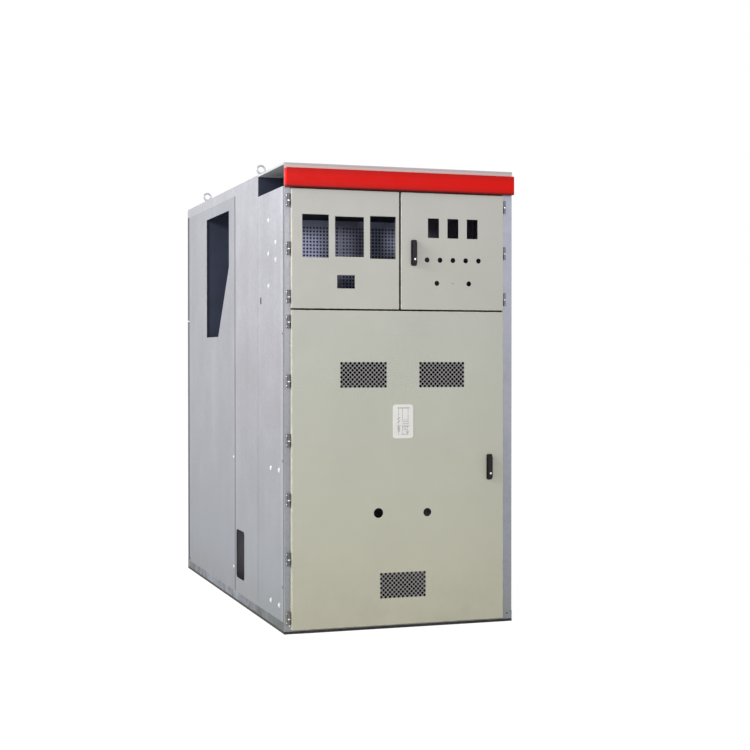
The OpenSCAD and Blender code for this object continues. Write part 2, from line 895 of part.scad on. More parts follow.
module handle_spindle() {
    difference() {
        union() {
            translate([0, -lever_back, 0]) rotate([-90, 0, 0])
                cylinder(r = spindle_r, h = lever_back - door_proud);
            block([-tongue_w / 2, lift_y, -tongue_r], [tongue_w / 2, -lever_back + 1, tongue_r]);
            translate([-tongue_w / 2, lift_y, 0]) rotate([0, 90, 0]) cylinder(r = tongue_r, h = tongue_w);
        }
        translate([-tongue_w, lift_y, 0]) rotate([0, 90, 0])
            cylinder(r = lift_pin_r + pin_clearance, h = 2 * tongue_w);
    }
}

module handle_lever() {
    difference() {
        union() {
            block([-lever_w / 2, lift_y - lever_t / 2, -lever_below], [lever_w / 2, lift_y + lever_t / 2, 0]);
            translate([-lever_w / 2, lift_y, 0]) rotate([0, 90, 0]) cylinder(r = lever_t / 2, h = lever_w);
        }
        block([-tongue_w / 2 - cheek_gap, lift_y - tongue_r - cheek_gap / 2, -tongue_r - cheek_gap],
              [tongue_w / 2 + cheek_gap, lift_y + lever_t, lever_t]);
        translate([0, -front_reach - 1, -key_drop]) rotate([-90, 0, 0]) cylinder(r = key_r, h = key_seat + 1);
    }
    translate([-lever_w / 2 + 2, lift_y, 0]) rotate([0, 90, 0]) cylinder(r = lift_pin_r, h = lever_w - 4);
}

module at_main_handle() {
    on_frame() translate([main_handle_x, 0, main_pivot_z]) children();
}

module at_control_handle() {
    on_frame() translate([control_handle_x, 0, control_pivot_z]) children();
}

module main_handle_base() {
    color(black_colour) at_main_handle() handle_base();
}

module main_handle_spindle() {
    color("silver") at_main_handle() handle_spindle();
}

module main_handle_lever() {
    color(black_colour) at_main_handle() handle_lever();
}

module control_handle_base() {
    color(black_colour) at_control_handle() handle_base();
}

module control_handle_spindle() {
    color("silver") at_control_handle() handle_spindle();
}

module control_handle_lever() {
    color(black_colour) at_control_handle() handle_lever();
}

// Hinges: the lower half with its pin stays on the post, the upper half turns with the door

half_l = (hinge_l - knuckle_gap) / 2;

module fixed_half(z) {
    translate([0, -hinge_proud, z - hinge_l / 2]) {
        cylinder(r = knuckle_r, h = half_l);
        cylinder(r = pin_r, h = hinge_l - 2);
    }
    z0 = z - hinge_l / 2;
    block([-arm_t / 2, -hinge_proud, z0], [arm_t / 2, -leaf_t, z0 + half_l]);
    block([-leaf_w / 2 - 1, -leaf_t, z0], [leaf_w / 2 - hinge_offset / 2, 0, z0 + hinge_l]);
}

module moving_half(z) {
    difference() {
        union() {
            translate([0, -hinge_proud, z + hinge_l / 2 - half_l]) cylinder(r = knuckle_r, h = half_l);
            block([0, -hinge_proud - arm_t / 2, z + hinge_l / 2 - half_l],
                  [hinge_offset, -hinge_proud + arm_t / 2, z + hinge_l / 2]);
        }
        translate([0, -hinge_proud, z + hinge_l / 2 - half_l - 1])
            cylinder(r = pin_r + pin_clearance, h = half_l - 1);
    }
}

module fixed_hinge_halves() {
    color(zinc_colour) on_frame() {
        translate([left_axis_x, 0, 0]) for (z = concat(main_hinge_z, upper_hinge_z)) fixed_half(z);
        translate([right_axis_x, 0, 0]) mirror([1, 0, 0]) for (z = upper_hinge_z) fixed_half(z);
    }
}

module main_door_hinges() {
    color(zinc_colour) on_frame() translate([left_axis_x, 0, 0])
        for (z = main_hinge_z) moving_half(z);
}

module relay_door_hinges() {
    color(zinc_colour) on_frame() translate([left_axis_x, 0, 0])
        for (z = upper_hinge_z) moving_half(z);
}

module control_door_hinges() {
    color(zinc_colour) on_frame() translate([right_axis_x, 0, 0]) mirror([1, 0, 0])
        for (z = upper_hinge_z) moving_half(z);
}

foot_strips();
base_cross_beams();
base_side_channels();
floor_plates();
front_posts();
rear_posts();
front_rails();
duct_front_plate();
left_front_side();
right_front_side();
left_rear_side();
right_rear_side();
panel_bolts();
instrument_floor();
instrument_rear_wall();
duct_floor();
mounting_rails();
mounting_plate();
module_walls();
truck_rails();
busbar_front_wall();
busbar_slant_wall();
busbar_floor();
busbar_rear_wall();
front_roof();
rear_roof();
relief_flaps();
lifting_eyes();
lintel();
rear_covers();
fixed_hinge_halves();
main_door();
main_door_stiffeners();
main_door_hinges();
diagram_plate();
main_handle_base();
main_handle_spindle();
main_handle_lever();
relay_door();
relay_door_hinges();
control_door();
control_door_hinges();
control_handle_base();
control_handle_spindle();
control_handle_lever();
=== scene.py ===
import json
import math

import bmesh
import bpy
from mathutils import Matrix, Vector

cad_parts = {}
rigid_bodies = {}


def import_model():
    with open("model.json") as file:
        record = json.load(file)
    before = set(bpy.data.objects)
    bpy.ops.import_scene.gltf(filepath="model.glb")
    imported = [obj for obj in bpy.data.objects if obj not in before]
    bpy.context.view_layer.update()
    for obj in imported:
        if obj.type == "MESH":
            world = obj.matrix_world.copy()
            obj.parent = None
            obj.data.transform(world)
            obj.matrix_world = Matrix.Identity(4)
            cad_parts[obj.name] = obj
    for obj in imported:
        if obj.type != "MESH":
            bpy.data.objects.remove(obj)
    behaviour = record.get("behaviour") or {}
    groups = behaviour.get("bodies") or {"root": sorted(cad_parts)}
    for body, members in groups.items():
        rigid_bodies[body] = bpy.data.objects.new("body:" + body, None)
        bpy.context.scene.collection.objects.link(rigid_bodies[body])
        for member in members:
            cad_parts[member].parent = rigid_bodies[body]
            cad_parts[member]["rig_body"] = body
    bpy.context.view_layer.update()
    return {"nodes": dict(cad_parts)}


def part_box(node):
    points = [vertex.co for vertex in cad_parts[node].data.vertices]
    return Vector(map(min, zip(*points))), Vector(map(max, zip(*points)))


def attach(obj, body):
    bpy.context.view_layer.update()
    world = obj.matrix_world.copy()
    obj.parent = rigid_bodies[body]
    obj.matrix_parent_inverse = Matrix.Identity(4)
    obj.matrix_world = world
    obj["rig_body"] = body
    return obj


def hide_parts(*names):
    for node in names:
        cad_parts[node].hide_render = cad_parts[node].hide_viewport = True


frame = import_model()
nodes = frame["nodes"]

# ------------------------------------------------------------------ camera
# The cubicle is seen from its left front, from the height of a person's chest and about eight
# metres away, so that the doors and the left side both show.

camera_data = bpy.data.cameras.new("camera")
camera_data.sensor_width = 36
camera_data.lens = 70.03
camera = bpy.data.objects.new("camera", camera_data)
camera.location = (-2.817, -9.361, 1.557)
camera.rotation_euler = (math.radians(89.399), 0, math.radians(-18.413))
bpy.context.scene.collection.objects.link(camera)
bpy.context.scene.camera = camera
bpy.context.scene.view_settings.view_transform = "Standard"

# ------------------------------------------------------------------ studio
# A white studio: a pale floor that runs out of sight, a white surround, a large soft lamp high on
# the left and a weaker one ahead of it. The floor keeps the soft shadow of the cubicle.


def add_node(tree, kind, inputs=None, **settings):
    """Add a shader node. An input given as a socket is linked, and any other is set."""
    shader_node = tree.nodes.new("ShaderNode" + kind)
    for name, value in settings.items():
        setattr(shader_node, name, value)
    for name, value in (inputs or {}).items():
        if isinstance(value, bpy.types.NodeSocket):
            tree.links.new(value, shader_node.inputs[name])
        else:
            shader_node.inputs[name].default_value = value
    return shader_node


def seen_directly(tree):
    """1 on rays from the camera, from a mirror surface or through glass, and 0 on the others"""
    path = add_node(tree, "LightPath")
    camera_or_gloss = add_node(tree, "Math", {0: path.outputs["Is Camera Ray"],
                                              1: path.outputs["Is Glossy Ray"]}, operation="MAXIMUM")
    return add_node(tree, "Math", {0: camera_or_gloss.outputs[0],
                                   1: path.outputs["Is Transmission Ray"]}, operation="MAXIMUM").outputs[0]


world = bpy.data.worlds.new("studio")
world.use_nodes = True
world.node_tree.nodes.clear()
surround_strength = add_node(world.node_tree, "MapRange", {"Value": seen_directly(world.node_tree),
                                                           "To Min": 0.42, "To Max": 1.0})
surround = add_node(world.node_tree, "Background", {"Color": (1, 1, 1, 1),
                                                    "Strength": surround_strength.outputs[0]})
add_node(world.node_tree, "OutputWorld", {"Surface": surround.outputs[0]})
bpy.context.scene.world = world

floor_paint = bpy.data.materials.new("floor_paint")
floor_paint.use_nodes = True
floor_tree = floor_paint.node_tree
floor_tree.nodes.clear()
pale_floor = add_node(floor_tree, "BsdfDiffuse", {"Color": (0.8, 0.8, 0.8, 1)})
shadow_catcher = add_node(floor_tree, "BsdfDiffuse", {"Color": (0.42, 0.42, 0.42, 1)})
white_glow = add_node(floor_tree, "Emission", {"Color": (1, 1, 1, 1), "Strength": 0.84})
white_floor = add_node(floor_tree, "AddShader", {0: shadow_catcher.outputs[0], 1: white_glow.outputs[0]})
floor_surface = add_node(floor_tree, "MixShader", {0: seen_directly(floor_tree), 1: pale_floor.outputs[0],
                                                   2: white_floor.outputs[0]})
add_node(floor_tree, "OutputMaterial", {"Surface": floor_surface.outputs[0]})

floor_size = 60
floor_mesh = bpy.data.meshes.new("floor")
floor_mesh.from_pydata([(x * floor_size, y * floor_size, 0) for x, y in ((-1, -1), (1, -1), (1, 1), (-1, 1))],
                       [], [(0, 1, 2, 3)])
floor_mesh.materials.append(floor_paint)
floor = bpy.data.objects.new("floor", floor_mesh)
bpy.context.scene.collection.objects.link(floor)


def add_lamp(name, place, target, size, power):
    lamp_data = bpy.data.lights.new(name, "AREA")
    lamp_data.shape = "DISK"
    lamp_data.size = size
    lamp_data.energy = power
    lamp = bpy.data.objects.new(name, lamp_data)
    lamp.location = place
    lamp.rotation_euler = (Vector(target) - Vector(place)).to_track_quat("-Z", "Y").to_euler()
    bpy.context.scene.collection.objects.link(lamp)


add_lamp("key_lamp", (-8.0, -2.8, 5.2), (0, -0.4, 1.6), 3.2, 540)
add_lamp("front_lamp", (0.9, -10.0, 3.0), (0, -1.4, 1.6), 1.4, 125)

# ------------------------------------------------------------------ foot strips
# Two strips of steel faced with hard rubber carry the cubicle along its sides, flush with the edge
# of the base. They are matte black, and dusty where they meet the floor.


def colour(red, green, blue):
    """A colour given as it is seen, from 0 to 255, in the shader's linear values"""
    return tuple(((c / 255 + 0.055) / 1.055) ** 2.4 for c in (red, green, blue)) + (1.0,)


def new_group(name, inputs, outputs):
    """An empty shader group, with its named inputs and outputs as (name, kind, default)"""
    group = bpy.data.node_groups.new(name, "ShaderNodeTree")
    for socket_name, kind, default in inputs:
        socket = group.interface.new_socket(socket_name, in_out="INPUT", socket_type="NodeSocket" + kind)
        socket.default_value = default
    for socket_name, kind in outputs:
        group.interface.new_socket(socket_name, in_out="OUTPUT", socket_type="NodeSocket" + kind)
    return group, group.nodes.new("NodeGroupInput").outputs, group.nodes.new("NodeGroupOutput").inputs


def noise(tree, vector, scale, detail=2.0, roughness=0.5):
    return add_node(tree, "TexNoise", {"Vector": vector, "Scale": scale, "Detail": detail,
                                       "Roughness": roughness}).outputs["Fac"]


def spread(tree, value, low, high, from_low=0.3, from_high=0.7):
    """Map a value from one range, that of a noise unless given, onto the range from low to high"""
    return add_node(tree, "MapRange", {"Value": value, "From Min": from_low, "From Max": from_high,
                                       "To Min": low, "To Max": high}).outputs[0]


def math_node(tree, operation, first, second=0.0):
    return add_node(tree, "Math", {0: first, 1: second}, operation=operation).outputs[0]


def multiply(tree, first, *others):
    """The product of some values"""
    for other in others:
        first = math_node(tree, "MULTIPLY", first, other)
    return first


def blend(tree, amount, first, second):
    """Mix two colours by the amount of the second"""
    mix = add_node(tree, "Mix", data_type="RGBA")
    for socket, value in ((mix.inputs[0], amount), (mix.inputs[6], first), (mix.inputs[7], second)):
        if isinstance(value, bpy.types.NodeSocket):
            tree.links.new(value, socket)
        else:
            socket.default_value = value
    return mix.outputs[2]


def shade(tree, surface_colour, tone):
    """A colour made lighter or darker by a factor"""
    scaled = add_node(tree, "VectorMath", {0: surface_colour, "Scale": tone}, operation="SCALE")
    return scaled.outputs[0]


def object_place(tree):
    """The place on the piece, in the metres of the frame"""
    return add_node(tree, "TexCoord").outputs["Object"]


def object_axes(tree):
    """The same place as its X, Y and Z"""
    return add_node(tree, "SeparateXYZ", {0: object_place(tree)}).outputs


def dust_and_foot_shade():
    """Dust, and with it a painted shade, that lies thickest at the foot of the cubicle and thins out over
    Reach metres
    """
    group, given, result = new_group("dust and foot shade", [("Reach", "Float", 0.5), ("Amount", "Float", 0.5)],
                                     [("Mask", "Float")])
    share = add_node(group, "MapRange", {"Value": object_axes(group)["Z"], "From Min": 0.0,
                                         "From Max": given["Reach"], "To Min": 1.0, "To Max": 0.0},
                     interpolation_type="SMOOTHSTEP").outputs[0]
    patches = spread(group, noise(group, object_place(group), 9.0, 4.0, 0.6), 0.35, 1.0)
    group.links.new(multiply(group, share, patches, given["Amount"]), result["Mask"])
    return group


def new_material(name):
    """A material with an empty Principled surface, returned with its tree and that shader"""
    material = bpy.data.materials.new(name)
    material.use_nodes = True
    material.node_tree.nodes.clear()
    surface = add_node(material.node_tree, "BsdfPrincipled")
    add_node(material.node_tree, "OutputMaterial", {"Surface": surface.outputs[0]})
    return material, material.node_tree, surface


def use_group(tree, group, values=None):
    user = add_node(tree, "Group", node_tree=group)
    for name, value in (values or {}).items():
        if isinstance(value, bpy.types.NodeSocket):
            tree.links.new(value, user.inputs[name])
        else:
            user.inputs[name].default_value = value
    return user.outputs


def add_bump(tree, surface, height, strength, distance):
    bump = add_node(tree, "Bump", {"Height": height, "Strength": strength, "Distance": distance})
    tree.links.new(bump.outputs[0], surface.inputs["Normal"])


def finish_node(name, material):
    """Give a CAD node a material"""
    for slot in nodes[name].material_slots:
        slot.material = material


dust_and_shade_group = dust_and_foot_shade()
dust_and_shade_colour = colour(150, 142, 126)

black_rubber, tree, surface = new_material("black_rubber")
place = object_place(tree)
dust_and_shade = use_group(tree, dust_and_shade_group, {"Reach": 0.02, "Amount": 0.12})["Mask"]
tree.links.new(blend(tree, dust_and_shade, colour(30, 27, 25), dust_and_shade_colour), surface.inputs["Base Color"])
tree.links.new(spread(tree, noise(tree, place, 40.0), 0.62, 0.82), surface.inputs["Roughness"])
add_bump(tree, surface, noise(tree, place, 300.0, 3.0), 0.25, 0.001)
finish_node("foot_strips", black_rubber)

# ------------------------------------------------------------------ base frame
# Channels of hot-dip galvanised steel, dull and mottled, carry the front and rear posts. They are
# welded at the corners, and the anchor bolts pass through their lower flanges.


def weld(name):
    """The mesh of a CAD node as one closed shape of flat faces"""
    shape = bmesh.new()
    shape.from_mesh(nodes[name].data)
    bmesh.ops.remove_doubles(shape, verts=shape.verts, dist=0.00002)
    bmesh.ops.dissolve_limit(shape, angle_limit=math.radians(0.5), verts=shape.verts, edges=shape.edges)
    shape.normal_update()
    return shape


def width_beside(edge, face):
    """How far a face reaches away from one of its edges"""
    start = edge.verts[0].co
    along = (edge.verts[1].co - start).normalized()
    across = along.cross(face.normal)
    return max(abs((vert.co - start).dot(across)) for vert in face.verts)


def bevel(shape, edges, radius, segments):
    """Round some edges of a shape"""
    return bmesh.ops.bevel(shape, geom=edges, offset=radius, segments=segments, profile=0.5,
                           affect="EDGES", clamp_overlap=True)


def round_folds(shape, radius, least=0.004):
    """Round the outer side of each square fold and mark it in the fold layer, for the wear and the painted
    highlight. Of the two faces beside an edge, the one with fewer corners is quicker to measure and comes
    first."""
    folds = [edge for edge in shape.edges
             if len(edge.link_faces) == 2 and edge.is_convex
             and 1.3 < edge.calc_face_angle() < 1.8
             and edge.calc_length() > least
             and all(width_beside(edge, face) > least
                     for face in sorted(edge.link_faces, key=lambda beside: len(beside.verts)))]
    fold_layer = shape.faces.layers.float.new("fold")
    for face in bevel(shape, folds, radius, 3)["faces"]:
        face[fold_layer] = 1.0


def make_piece(name, shape, material, body, replaces=()):
    """Turn a shape into a shown piece that rides on a body and may stand for CAD nodes"""
    mesh = bpy.data.meshes.new(name)
    shape.to_mesh(mesh)
    shape.free()
    mesh.polygons.foreach_set("use_smooth", [True] * len(mesh.polygons))
    mesh.set_sharp_from_angle(angle=math.radians(40))
    mesh.materials.append(material)
    piece = bpy.data.objects.new(name, mesh)
    bpy.context.scene.collection.objects.link(piece)
    normals = piece.modifiers.new("normals", "WEIGHTED_NORMAL")
    normals.keep_sharp = True
    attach(piece, body)
    if replaces:
        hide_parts(*replaces)
    return piece


def fold_sheet(node_name, name, material, radius=0.0022):
    """Replace a CAD node by a copy with rounded folds"""
    shape = weld(node_name)
    round_folds(shape, radius)
    return make_piece(name, shape, material, nodes[node_name]["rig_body"], [node_name])


def rubbed_and_highlit_folds():
    """Wear and a painted highlight along the rounded folds, in patches, from 0 to Amount"""
    group, given, result = new_group("rubbed and highlit folds", [("Amount", "Float", 0.5)], [("Mask", "Float")])
    fold = add_node(group, "Attribute", attribute_name="fold", attribute_type="GEOMETRY").outputs["Fac"]
    patches = spread(group, noise(group, object_place(group), 25.0, 4.0, 0.65), 0.0, 1.0, 0.42, 0.62)
    group.links.new(multiply(group, fold, patches, given["Amount"]), result["Mask"])
    return group


def zinc_crystals():
    """The crystals and soft rolling streaks of zinc-coated sheet. Tone is a factor near 1 and never
    under 0.45, Gloss is added to the roughness, and Height is for the bump."""
    group, given, result = new_group("zinc crystals", [("Crystal Scale", "Float", 70.0),
                                                       ("Contrast", "Float", 0.05)],
                                     [("Tone", "Float"), ("Gloss", "Float"), ("Height", "Float")])
    place = object_place(group)
    crystals = add_node(group, "TexVoronoi", {"Vector": place, "Scale": given["Crystal Scale"]})
    crystal_tone = add_node(group, "SeparateColor", {0: crystals.outputs["Color"]}).outputs[0]
    stretched = add_node(group, "Mapping", {"Vector": place, "Scale": (7.0, 7.0, 0.5)}).outputs[0]
    streaks = noise(group, stretched, 1.0, 3.0, 0.55)
    clouds = noise(group, place, 3.0, 3.0, 0.5)
    centred = math_node(group, "SUBTRACT", crystal_tone, 0.5)
    soft = math_node(group, "ADD", spread(group, streaks, -0.4, 0.4), spread(group, clouds, -0.6, 0.6))
    both = math_node(group, "ADD", centred, soft)
    tone = math_node(group, "ADD", multiply(group, both, given["Contrast"]), 1.0)
    group.links.new(math_node(group, "MAXIMUM", tone, 0.45), result["Tone"])
    group.links.new(multiply(group, both, 0.06), result["Gloss"])
    group.links.new(math_node(group, "ADD", crystal_tone, noise(group, place, 220.0, 2.0)), result["Height"])
    return group


def painted_light_by_height():
    """Three colours blended from the foot of the cubicle over its middle to Top Height metres, as painted
    light and shade by height
    """
    white = (1.0, 1.0, 1.0, 1.0)
    inputs = [("Foot", "Color", white), ("Middle", "Color", white), ("Top", "Color", white),
              ("Top Height", "Float", 2.65)]
    group, given, result = new_group("painted light by height", inputs, [("Color", "Color")])
    height = object_axes(group)["Z"]
    lower_half = blend(group, spread(group, height, 0.0, 1.0, 0.1, 1.4), given["Foot"], given["Middle"])
    upper_share = spread(group, height, 0.0, 1.0, 1.4, given["Top Height"])
    group.links.new(blend(group, upper_share, lower_half, given["Top"]), result["Color"])
    return group


rub_and_highlight_group = rubbed_and_highlit_folds()
crystal_group = zinc_crystals()
painted_light_group = painted_light_by_height()


def painted_light_tones(tree, tones, top):
    """A colour in three tones of painted light and shade, given for the foot of the cubicle, half way up and
    the top
    """
    foot, middle, high = (colour(*tone) for tone in tones)
    return use_group(tree, painted_light_group, {"Foot": foot, "Middle": middle, "Top": high,
                                          "Top Height": top})["Color"]


def zinc_material(name, tones, metallic=0.6, roughness=0.42, contrast=0.15, crystal_scale=70.0,
                  dust_and_shade_amount=0.3, rub_and_highlight_tone=(225, 225, 230)):
    """Zinc-coated steel in three tones of painted light and shade by height"""
    material, tree, surface = new_material(name)
    crystals = use_group(tree, crystal_group, {"Crystal Scale": crystal_scale, "Contrast": contrast})
    dust_and_shade = use_group(tree, dust_and_shade_group, {"Reach": 0.35, "Amount": dust_and_shade_amount})["Mask"]
    rub_and_highlight = use_group(tree, rub_and_highlight_group, {"Amount": 0.5})["Mask"]
    clean = shade(tree, painted_light_tones(tree, tones, 2.65), crystals["Tone"])
    tree.links.new(blend(tree, rub_and_highlight, blend(tree, dust_and_shade, clean, dust_and_shade_colour), colour(*rub_and_highlight_tone)),
                   surface.inputs["Base Color"])
    clean_roughness = math_node(tree, "ADD", crystals["Gloss"], roughness)
    tree.links.new(math_node(tree, "ADD", clean_roughness, multiply(tree, dust_and_shade, 0.4)),
                   surface.inputs["Roughness"])
    tree.links.new(multiply(tree, math_node(tree, "SUBTRACT", 1.0, dust_and_shade), metallic),
                   surface.inputs["Metallic"])
    add_bump(tree, surface, crystals["Height"], 0.08, 0.0006)
    return material


def tint_finish(material, amount, tone):
    """Blend a tone into a finished material, by an amount made in the material's own tree"""
    tree = material.node_tree
    base_colour = tree.nodes["Principled BSDF"].inputs["Base Color"]
    tree.links.new(blend(tree, amount, base_colour.links[0].from_socket, colour(*tone)), base_colour)


def shade_finish(material, factor):
    """Make a finished material lighter or darker by a factor made in its own tree"""
    tree = material.node_tree
    base_colour = tree.nodes["Principled BSDF"].inputs["Base Color"]
    tree.links.new(shade(tree, base_colour.links[0].from_socket, factor), base_colour)


dull_zinc = zinc_material("dull_zinc", [(114, 118, 125), (116, 120, 127), (120, 123, 130)], metallic=0.35,
                          roughness=0.55, contrast=0.8, crystal_scale=26.0, dust_and_shade_amount=0.0)

# The channels are darker and greener towards the left front corner, and their front face is paler.

tree = dull_zinc.node_tree
axes = object_axes(tree)
face_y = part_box("base_cross_beams")[0].y
face_range = (face_y + 0.002, face_y + 0.012)
front_corner_darkening = multiply(tree, spread(tree, axes["Y"], 0.6, 0.0, face_y + 0.077, face_y + 1.077),
                       spread(tree, axes["Y"], 0.25, 1.0, *face_range),
                       spread(tree, axes["X"], 1.0, 0.0, -0.6, 0.6))
tint_finish(dull_zinc, front_corner_darkening, (66, 78, 66))
tint_finish(dull_zinc, spread(tree, axes["Y"], 0.5, 0.0, *face_range), (165, 168, 170))
fold_sheet("base_cross_beams", "cross_beams", dull_zinc, radius=0.003)
fold_sheet("base_side_channels", "side_channels", dull_zinc, radius=0.003)

# ------------------------------------------------------------------ posts and rails
# Folded posts of zinc-coated sheet stand on the base. The two front ones show as bare strips on
# each side of the doors, and the rear ones as a dark groove before the rear covers.

# The folds of the posts carry a painted light.
post_zinc = zinc_material("post_zinc", [(137, 141, 146), (139, 140, 146), (144, 146, 152)], contrast=0.12,
                          rub_and_highlight_tone=(158, 160, 166))
# The inner zinc is darker towards the top, a painted shade under the roof.
inner_zinc = zinc_material("inner_zinc", [(148, 146, 156), (148, 146, 156), (104, 106, 116)], metallic=0.35,
                           roughness=0.5, contrast=0.08)

# A painted light makes the right post lighter and bluer than the left one, more so towards its top.

tree = post_zinc.node_tree
axes = object_axes(tree)
painted_right_post_light = multiply(tree, spread(tree, axes["X"], 0.0, 1.0, -0.1, 0.1),
                       spread(tree, noise(tree, object_place(tree), 16.0, 3.0), 0.8, 1.1),
                       spread(tree, axes["Z"], 0.05, 1.0, 0.1, 2.5))
tint_finish(post_zinc, painted_right_post_light, (172, 174, 188))
fold_sheet("front_posts", "front_post_pair", post_zinc)
fold_sheet("front_rails", "cross_rails", inner_zinc)
finish_node("floor_plates", inner_zinc)
finish_node("truck_rails", inner_zinc)
finish_node("rear_posts", dull_zinc)

# ------------------------------------------------------------------ side panels
# Flat panels of zinc-coated sheet, folded at the front edge and bolted to the posts. Their
# openings pass the busbars and the control wiring to the next cubicle.

panel_low, panel_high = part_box("left_front_side")
rear_panel_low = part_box("left_rear_side")[0]
# The tones by height are painted light and shade: the sheet is lighter towards the top, and the front panel
# lighter than the rear one.
front_panel_zinc = zinc_material("front_panel_zinc", [(136, 141, 147), (168, 167, 174), (193, 193, 201)])
rear_panel_zinc = zinc_material("rear_panel_zinc", [(133, 137, 145), (163, 165, 172), (175, 177, 185)])

# A painted highlight makes the sheet brighter along its front fold, and a painted shade makes it darker
# beside the joint of the two panels.

tree = front_panel_zinc.node_tree
depth = object_axes(tree)["Y"]
painted_fold_highlight = spread(tree, depth, 1.14, 1.0, panel_low.y + 0.03, panel_low.y + 0.06)
painted_joint_shade = spread(tree, depth, 1.0, 0.7, panel_high.y - 0.02, panel_high.y - 0.005)
shade_finish(front_panel_zinc, multiply(tree, painted_fold_highlight, painted_joint_shade))
tree = rear_panel_zinc.node_tree
painted_joint_shade = spread(tree, object_axes(tree)["Y"], 0.7, 1.0, rear_panel_low.y + 0.003,
                     rear_panel_low.y + 0.014)
shade_finish(rear_panel_zinc, painted_joint_shade)
for side in ("left", "right"):
    fold_sheet(side + "_front_side", side + "_front_panel", front_panel_zinc)
    fold_sheet(side + "_rear_side", side + "_rear_panel", rear_panel_zinc)

# A foam gasket fills the joint between the two modules; its black is partly a painted shade in the joint. A
# pressed bead runs up the front panel where the rear wall of the instrument compartment meets it.


def even_skin():
    """Soft patches, shiny patches and fine grain, each a noise at its own scale"""
    inputs = [("Mottle Scale", "Float", 30.0), ("Gloss Scale", "Float", 30.0),
              ("Grain Scale", "Float", 500.0), ("Grain Detail", "Float", 2.0)]
    outputs = [("Mottle", "Float"), ("Gloss", "Float"), ("Height", "Float")]
    group, given, result = new_group("even skin", inputs, outputs)
    place = object_place(group)
    mottle = noise(group, place, given["Mottle Scale"], 3.0)
    group.links.new(spread(group, mottle, 0.0, 1.0), result["Mottle"])
    group.links.new(noise(group, place, given["Gloss Scale"]), result["Gloss"])
    group.links.new(noise(group, place, given["Grain Scale"], given["Grain Detail"]), result["Height"])
    return group


skin_group = even_skin()


def even_finish(name, tones, mottle_scale, gloss, gloss_scale, grain, grain_detail=2.0, metallic=0.0):
    """A finish of two close tones in soft patches. Gloss is the range of its roughness, and grain is
    the scale, the strength and the depth of its bump."""
    material, tree, surface = new_material(name)
    grain_scale, strength, depth = grain
    skin = use_group(tree, skin_group, {"Mottle Scale": mottle_scale, "Gloss Scale": gloss_scale,
                                        "Grain Scale": grain_scale, "Grain Detail": grain_detail})
    tree.links.new(blend(tree, skin["Mottle"], colour(*tones[0]), colour(*tones[1])),
                   surface.inputs["Base Color"])
    tree.links.new(spread(tree, skin["Gloss"], *gloss), surface.inputs["Roughness"])
    surface.inputs["Metallic"].default_value = metallic
    add_bump(tree, surface, skin["Height"], strength, depth)
    return material


def add_block(shape, corner, opposite):
    """Add a closed box between two opposite corners"""
    low = [min(pair) for pair in zip(corner, opposite)]
    high = [max(pair) for pair in zip(corner, opposite)]
    for vert in bmesh.ops.create_cube(shape, size=1.0)["verts"]:
        vert.co = Vector(low[i] + (vert.co[i] + 0.5) * (high[i] - low[i]) for i in range(3))


foam = even_finish("foam", [(18, 18, 19), (28, 28, 29)], mottle_scale=120.0, gloss=(0.8, 0.95),
                   gloss_scale=60.0, grain=(900.0, 0.4, 0.0006))
gasket_width = 0.008
bead_y, bead_half, bead_rise = panel_low.y + 0.601, 0.007, 0.0009
bead_foot, bead_top = panel_low.z + 0.03, panel_high.z - 0.09
gasket_and_shade, bead = bmesh.new(), bmesh.new()
for mirror in (-1, 1):
    add_block(gasket_and_shade, (mirror * panel_high.x, panel_high.y, panel_low.z),
              (mirror * (panel_high.x + gasket_width), rear_panel_low.y, panel_high.z))
    add_block(bead, (mirror * panel_low.x, bead_y - bead_half, bead_foot),
              (mirror * (panel_low.x - bead_rise), bead_y + bead_half, bead_top))
bevel(bead, bead.edges[:], 0.0008, 2)
make_piece("module_gasket_and_shade", gasket_and_shade, foam, "cabinet")
make_piece("side_beads", bead, front_panel_zinc, "cabinet")

# ------------------------------------------------------------------ panel bolts
# Hexagon bolts with plain washers, bright zinc plated, hold the inner rails to the sides and the
# covers to the rear.

bright_steel = even_finish("bright_steel", [(236, 237, 240), (250, 250, 252)], mottle_scale=60.0,
                           gloss=(0.24, 0.36), gloss_scale=150.0, grain=(900.0, 0.1, 0.0003), metallic=0.5)


def add_ring_stack(shape, rings, place, turn, sides=24):
    """Add a closed turned shape. Each ring is (radius, height, hexagon), where a hexagon ring is cut
    to six flats, and the first and last ring are capped."""
    loops = []
    for radius, height, hexagon in rings:
        loop = []
        for step in range(sides):
            angle = 2 * math.pi * step / sides
            reach = radius
            if hexagon:
                reach = min(radius, hexagon / math.cos((angle % (math.pi / 3)) - math.pi / 6))
            point = Vector((reach * math.cos(angle), reach * math.sin(angle), height))
            loop.append(shape.verts.new(turn @ point + place))
        loops.append(loop)
    for low, high in zip(loops, loops[1:]):
        for step in range(sides):
            after = (step + 1) % sides
            shape.faces.new((low[step], low[after], high[after], high[step]))
    shape.faces.new(list(reversed(loops[0])))
    shape.faces.new(loops[-1])


def islands(shape):
    """The loose parts of a shape, each as its box (low corner, high corner)"""
    left = set(shape.verts)
    boxes = []
    for seed in shape.verts:
        if seed not in left:
            continue
        left.remove(seed)
        reach, part = [seed], []
        while reach:
            vert = reach.pop()
            part.append(vert.co)
            for edge in vert.link_edges:
                other = edge.other_vert(vert)
                if other in left:
                    left.remove(other)
                    reach.append(other)
        boxes.append((Vector(min(c[i] for c in part) for i in range(3)),
                      Vector(max(c[i] for c in part) for i in range(3))))
    return boxes


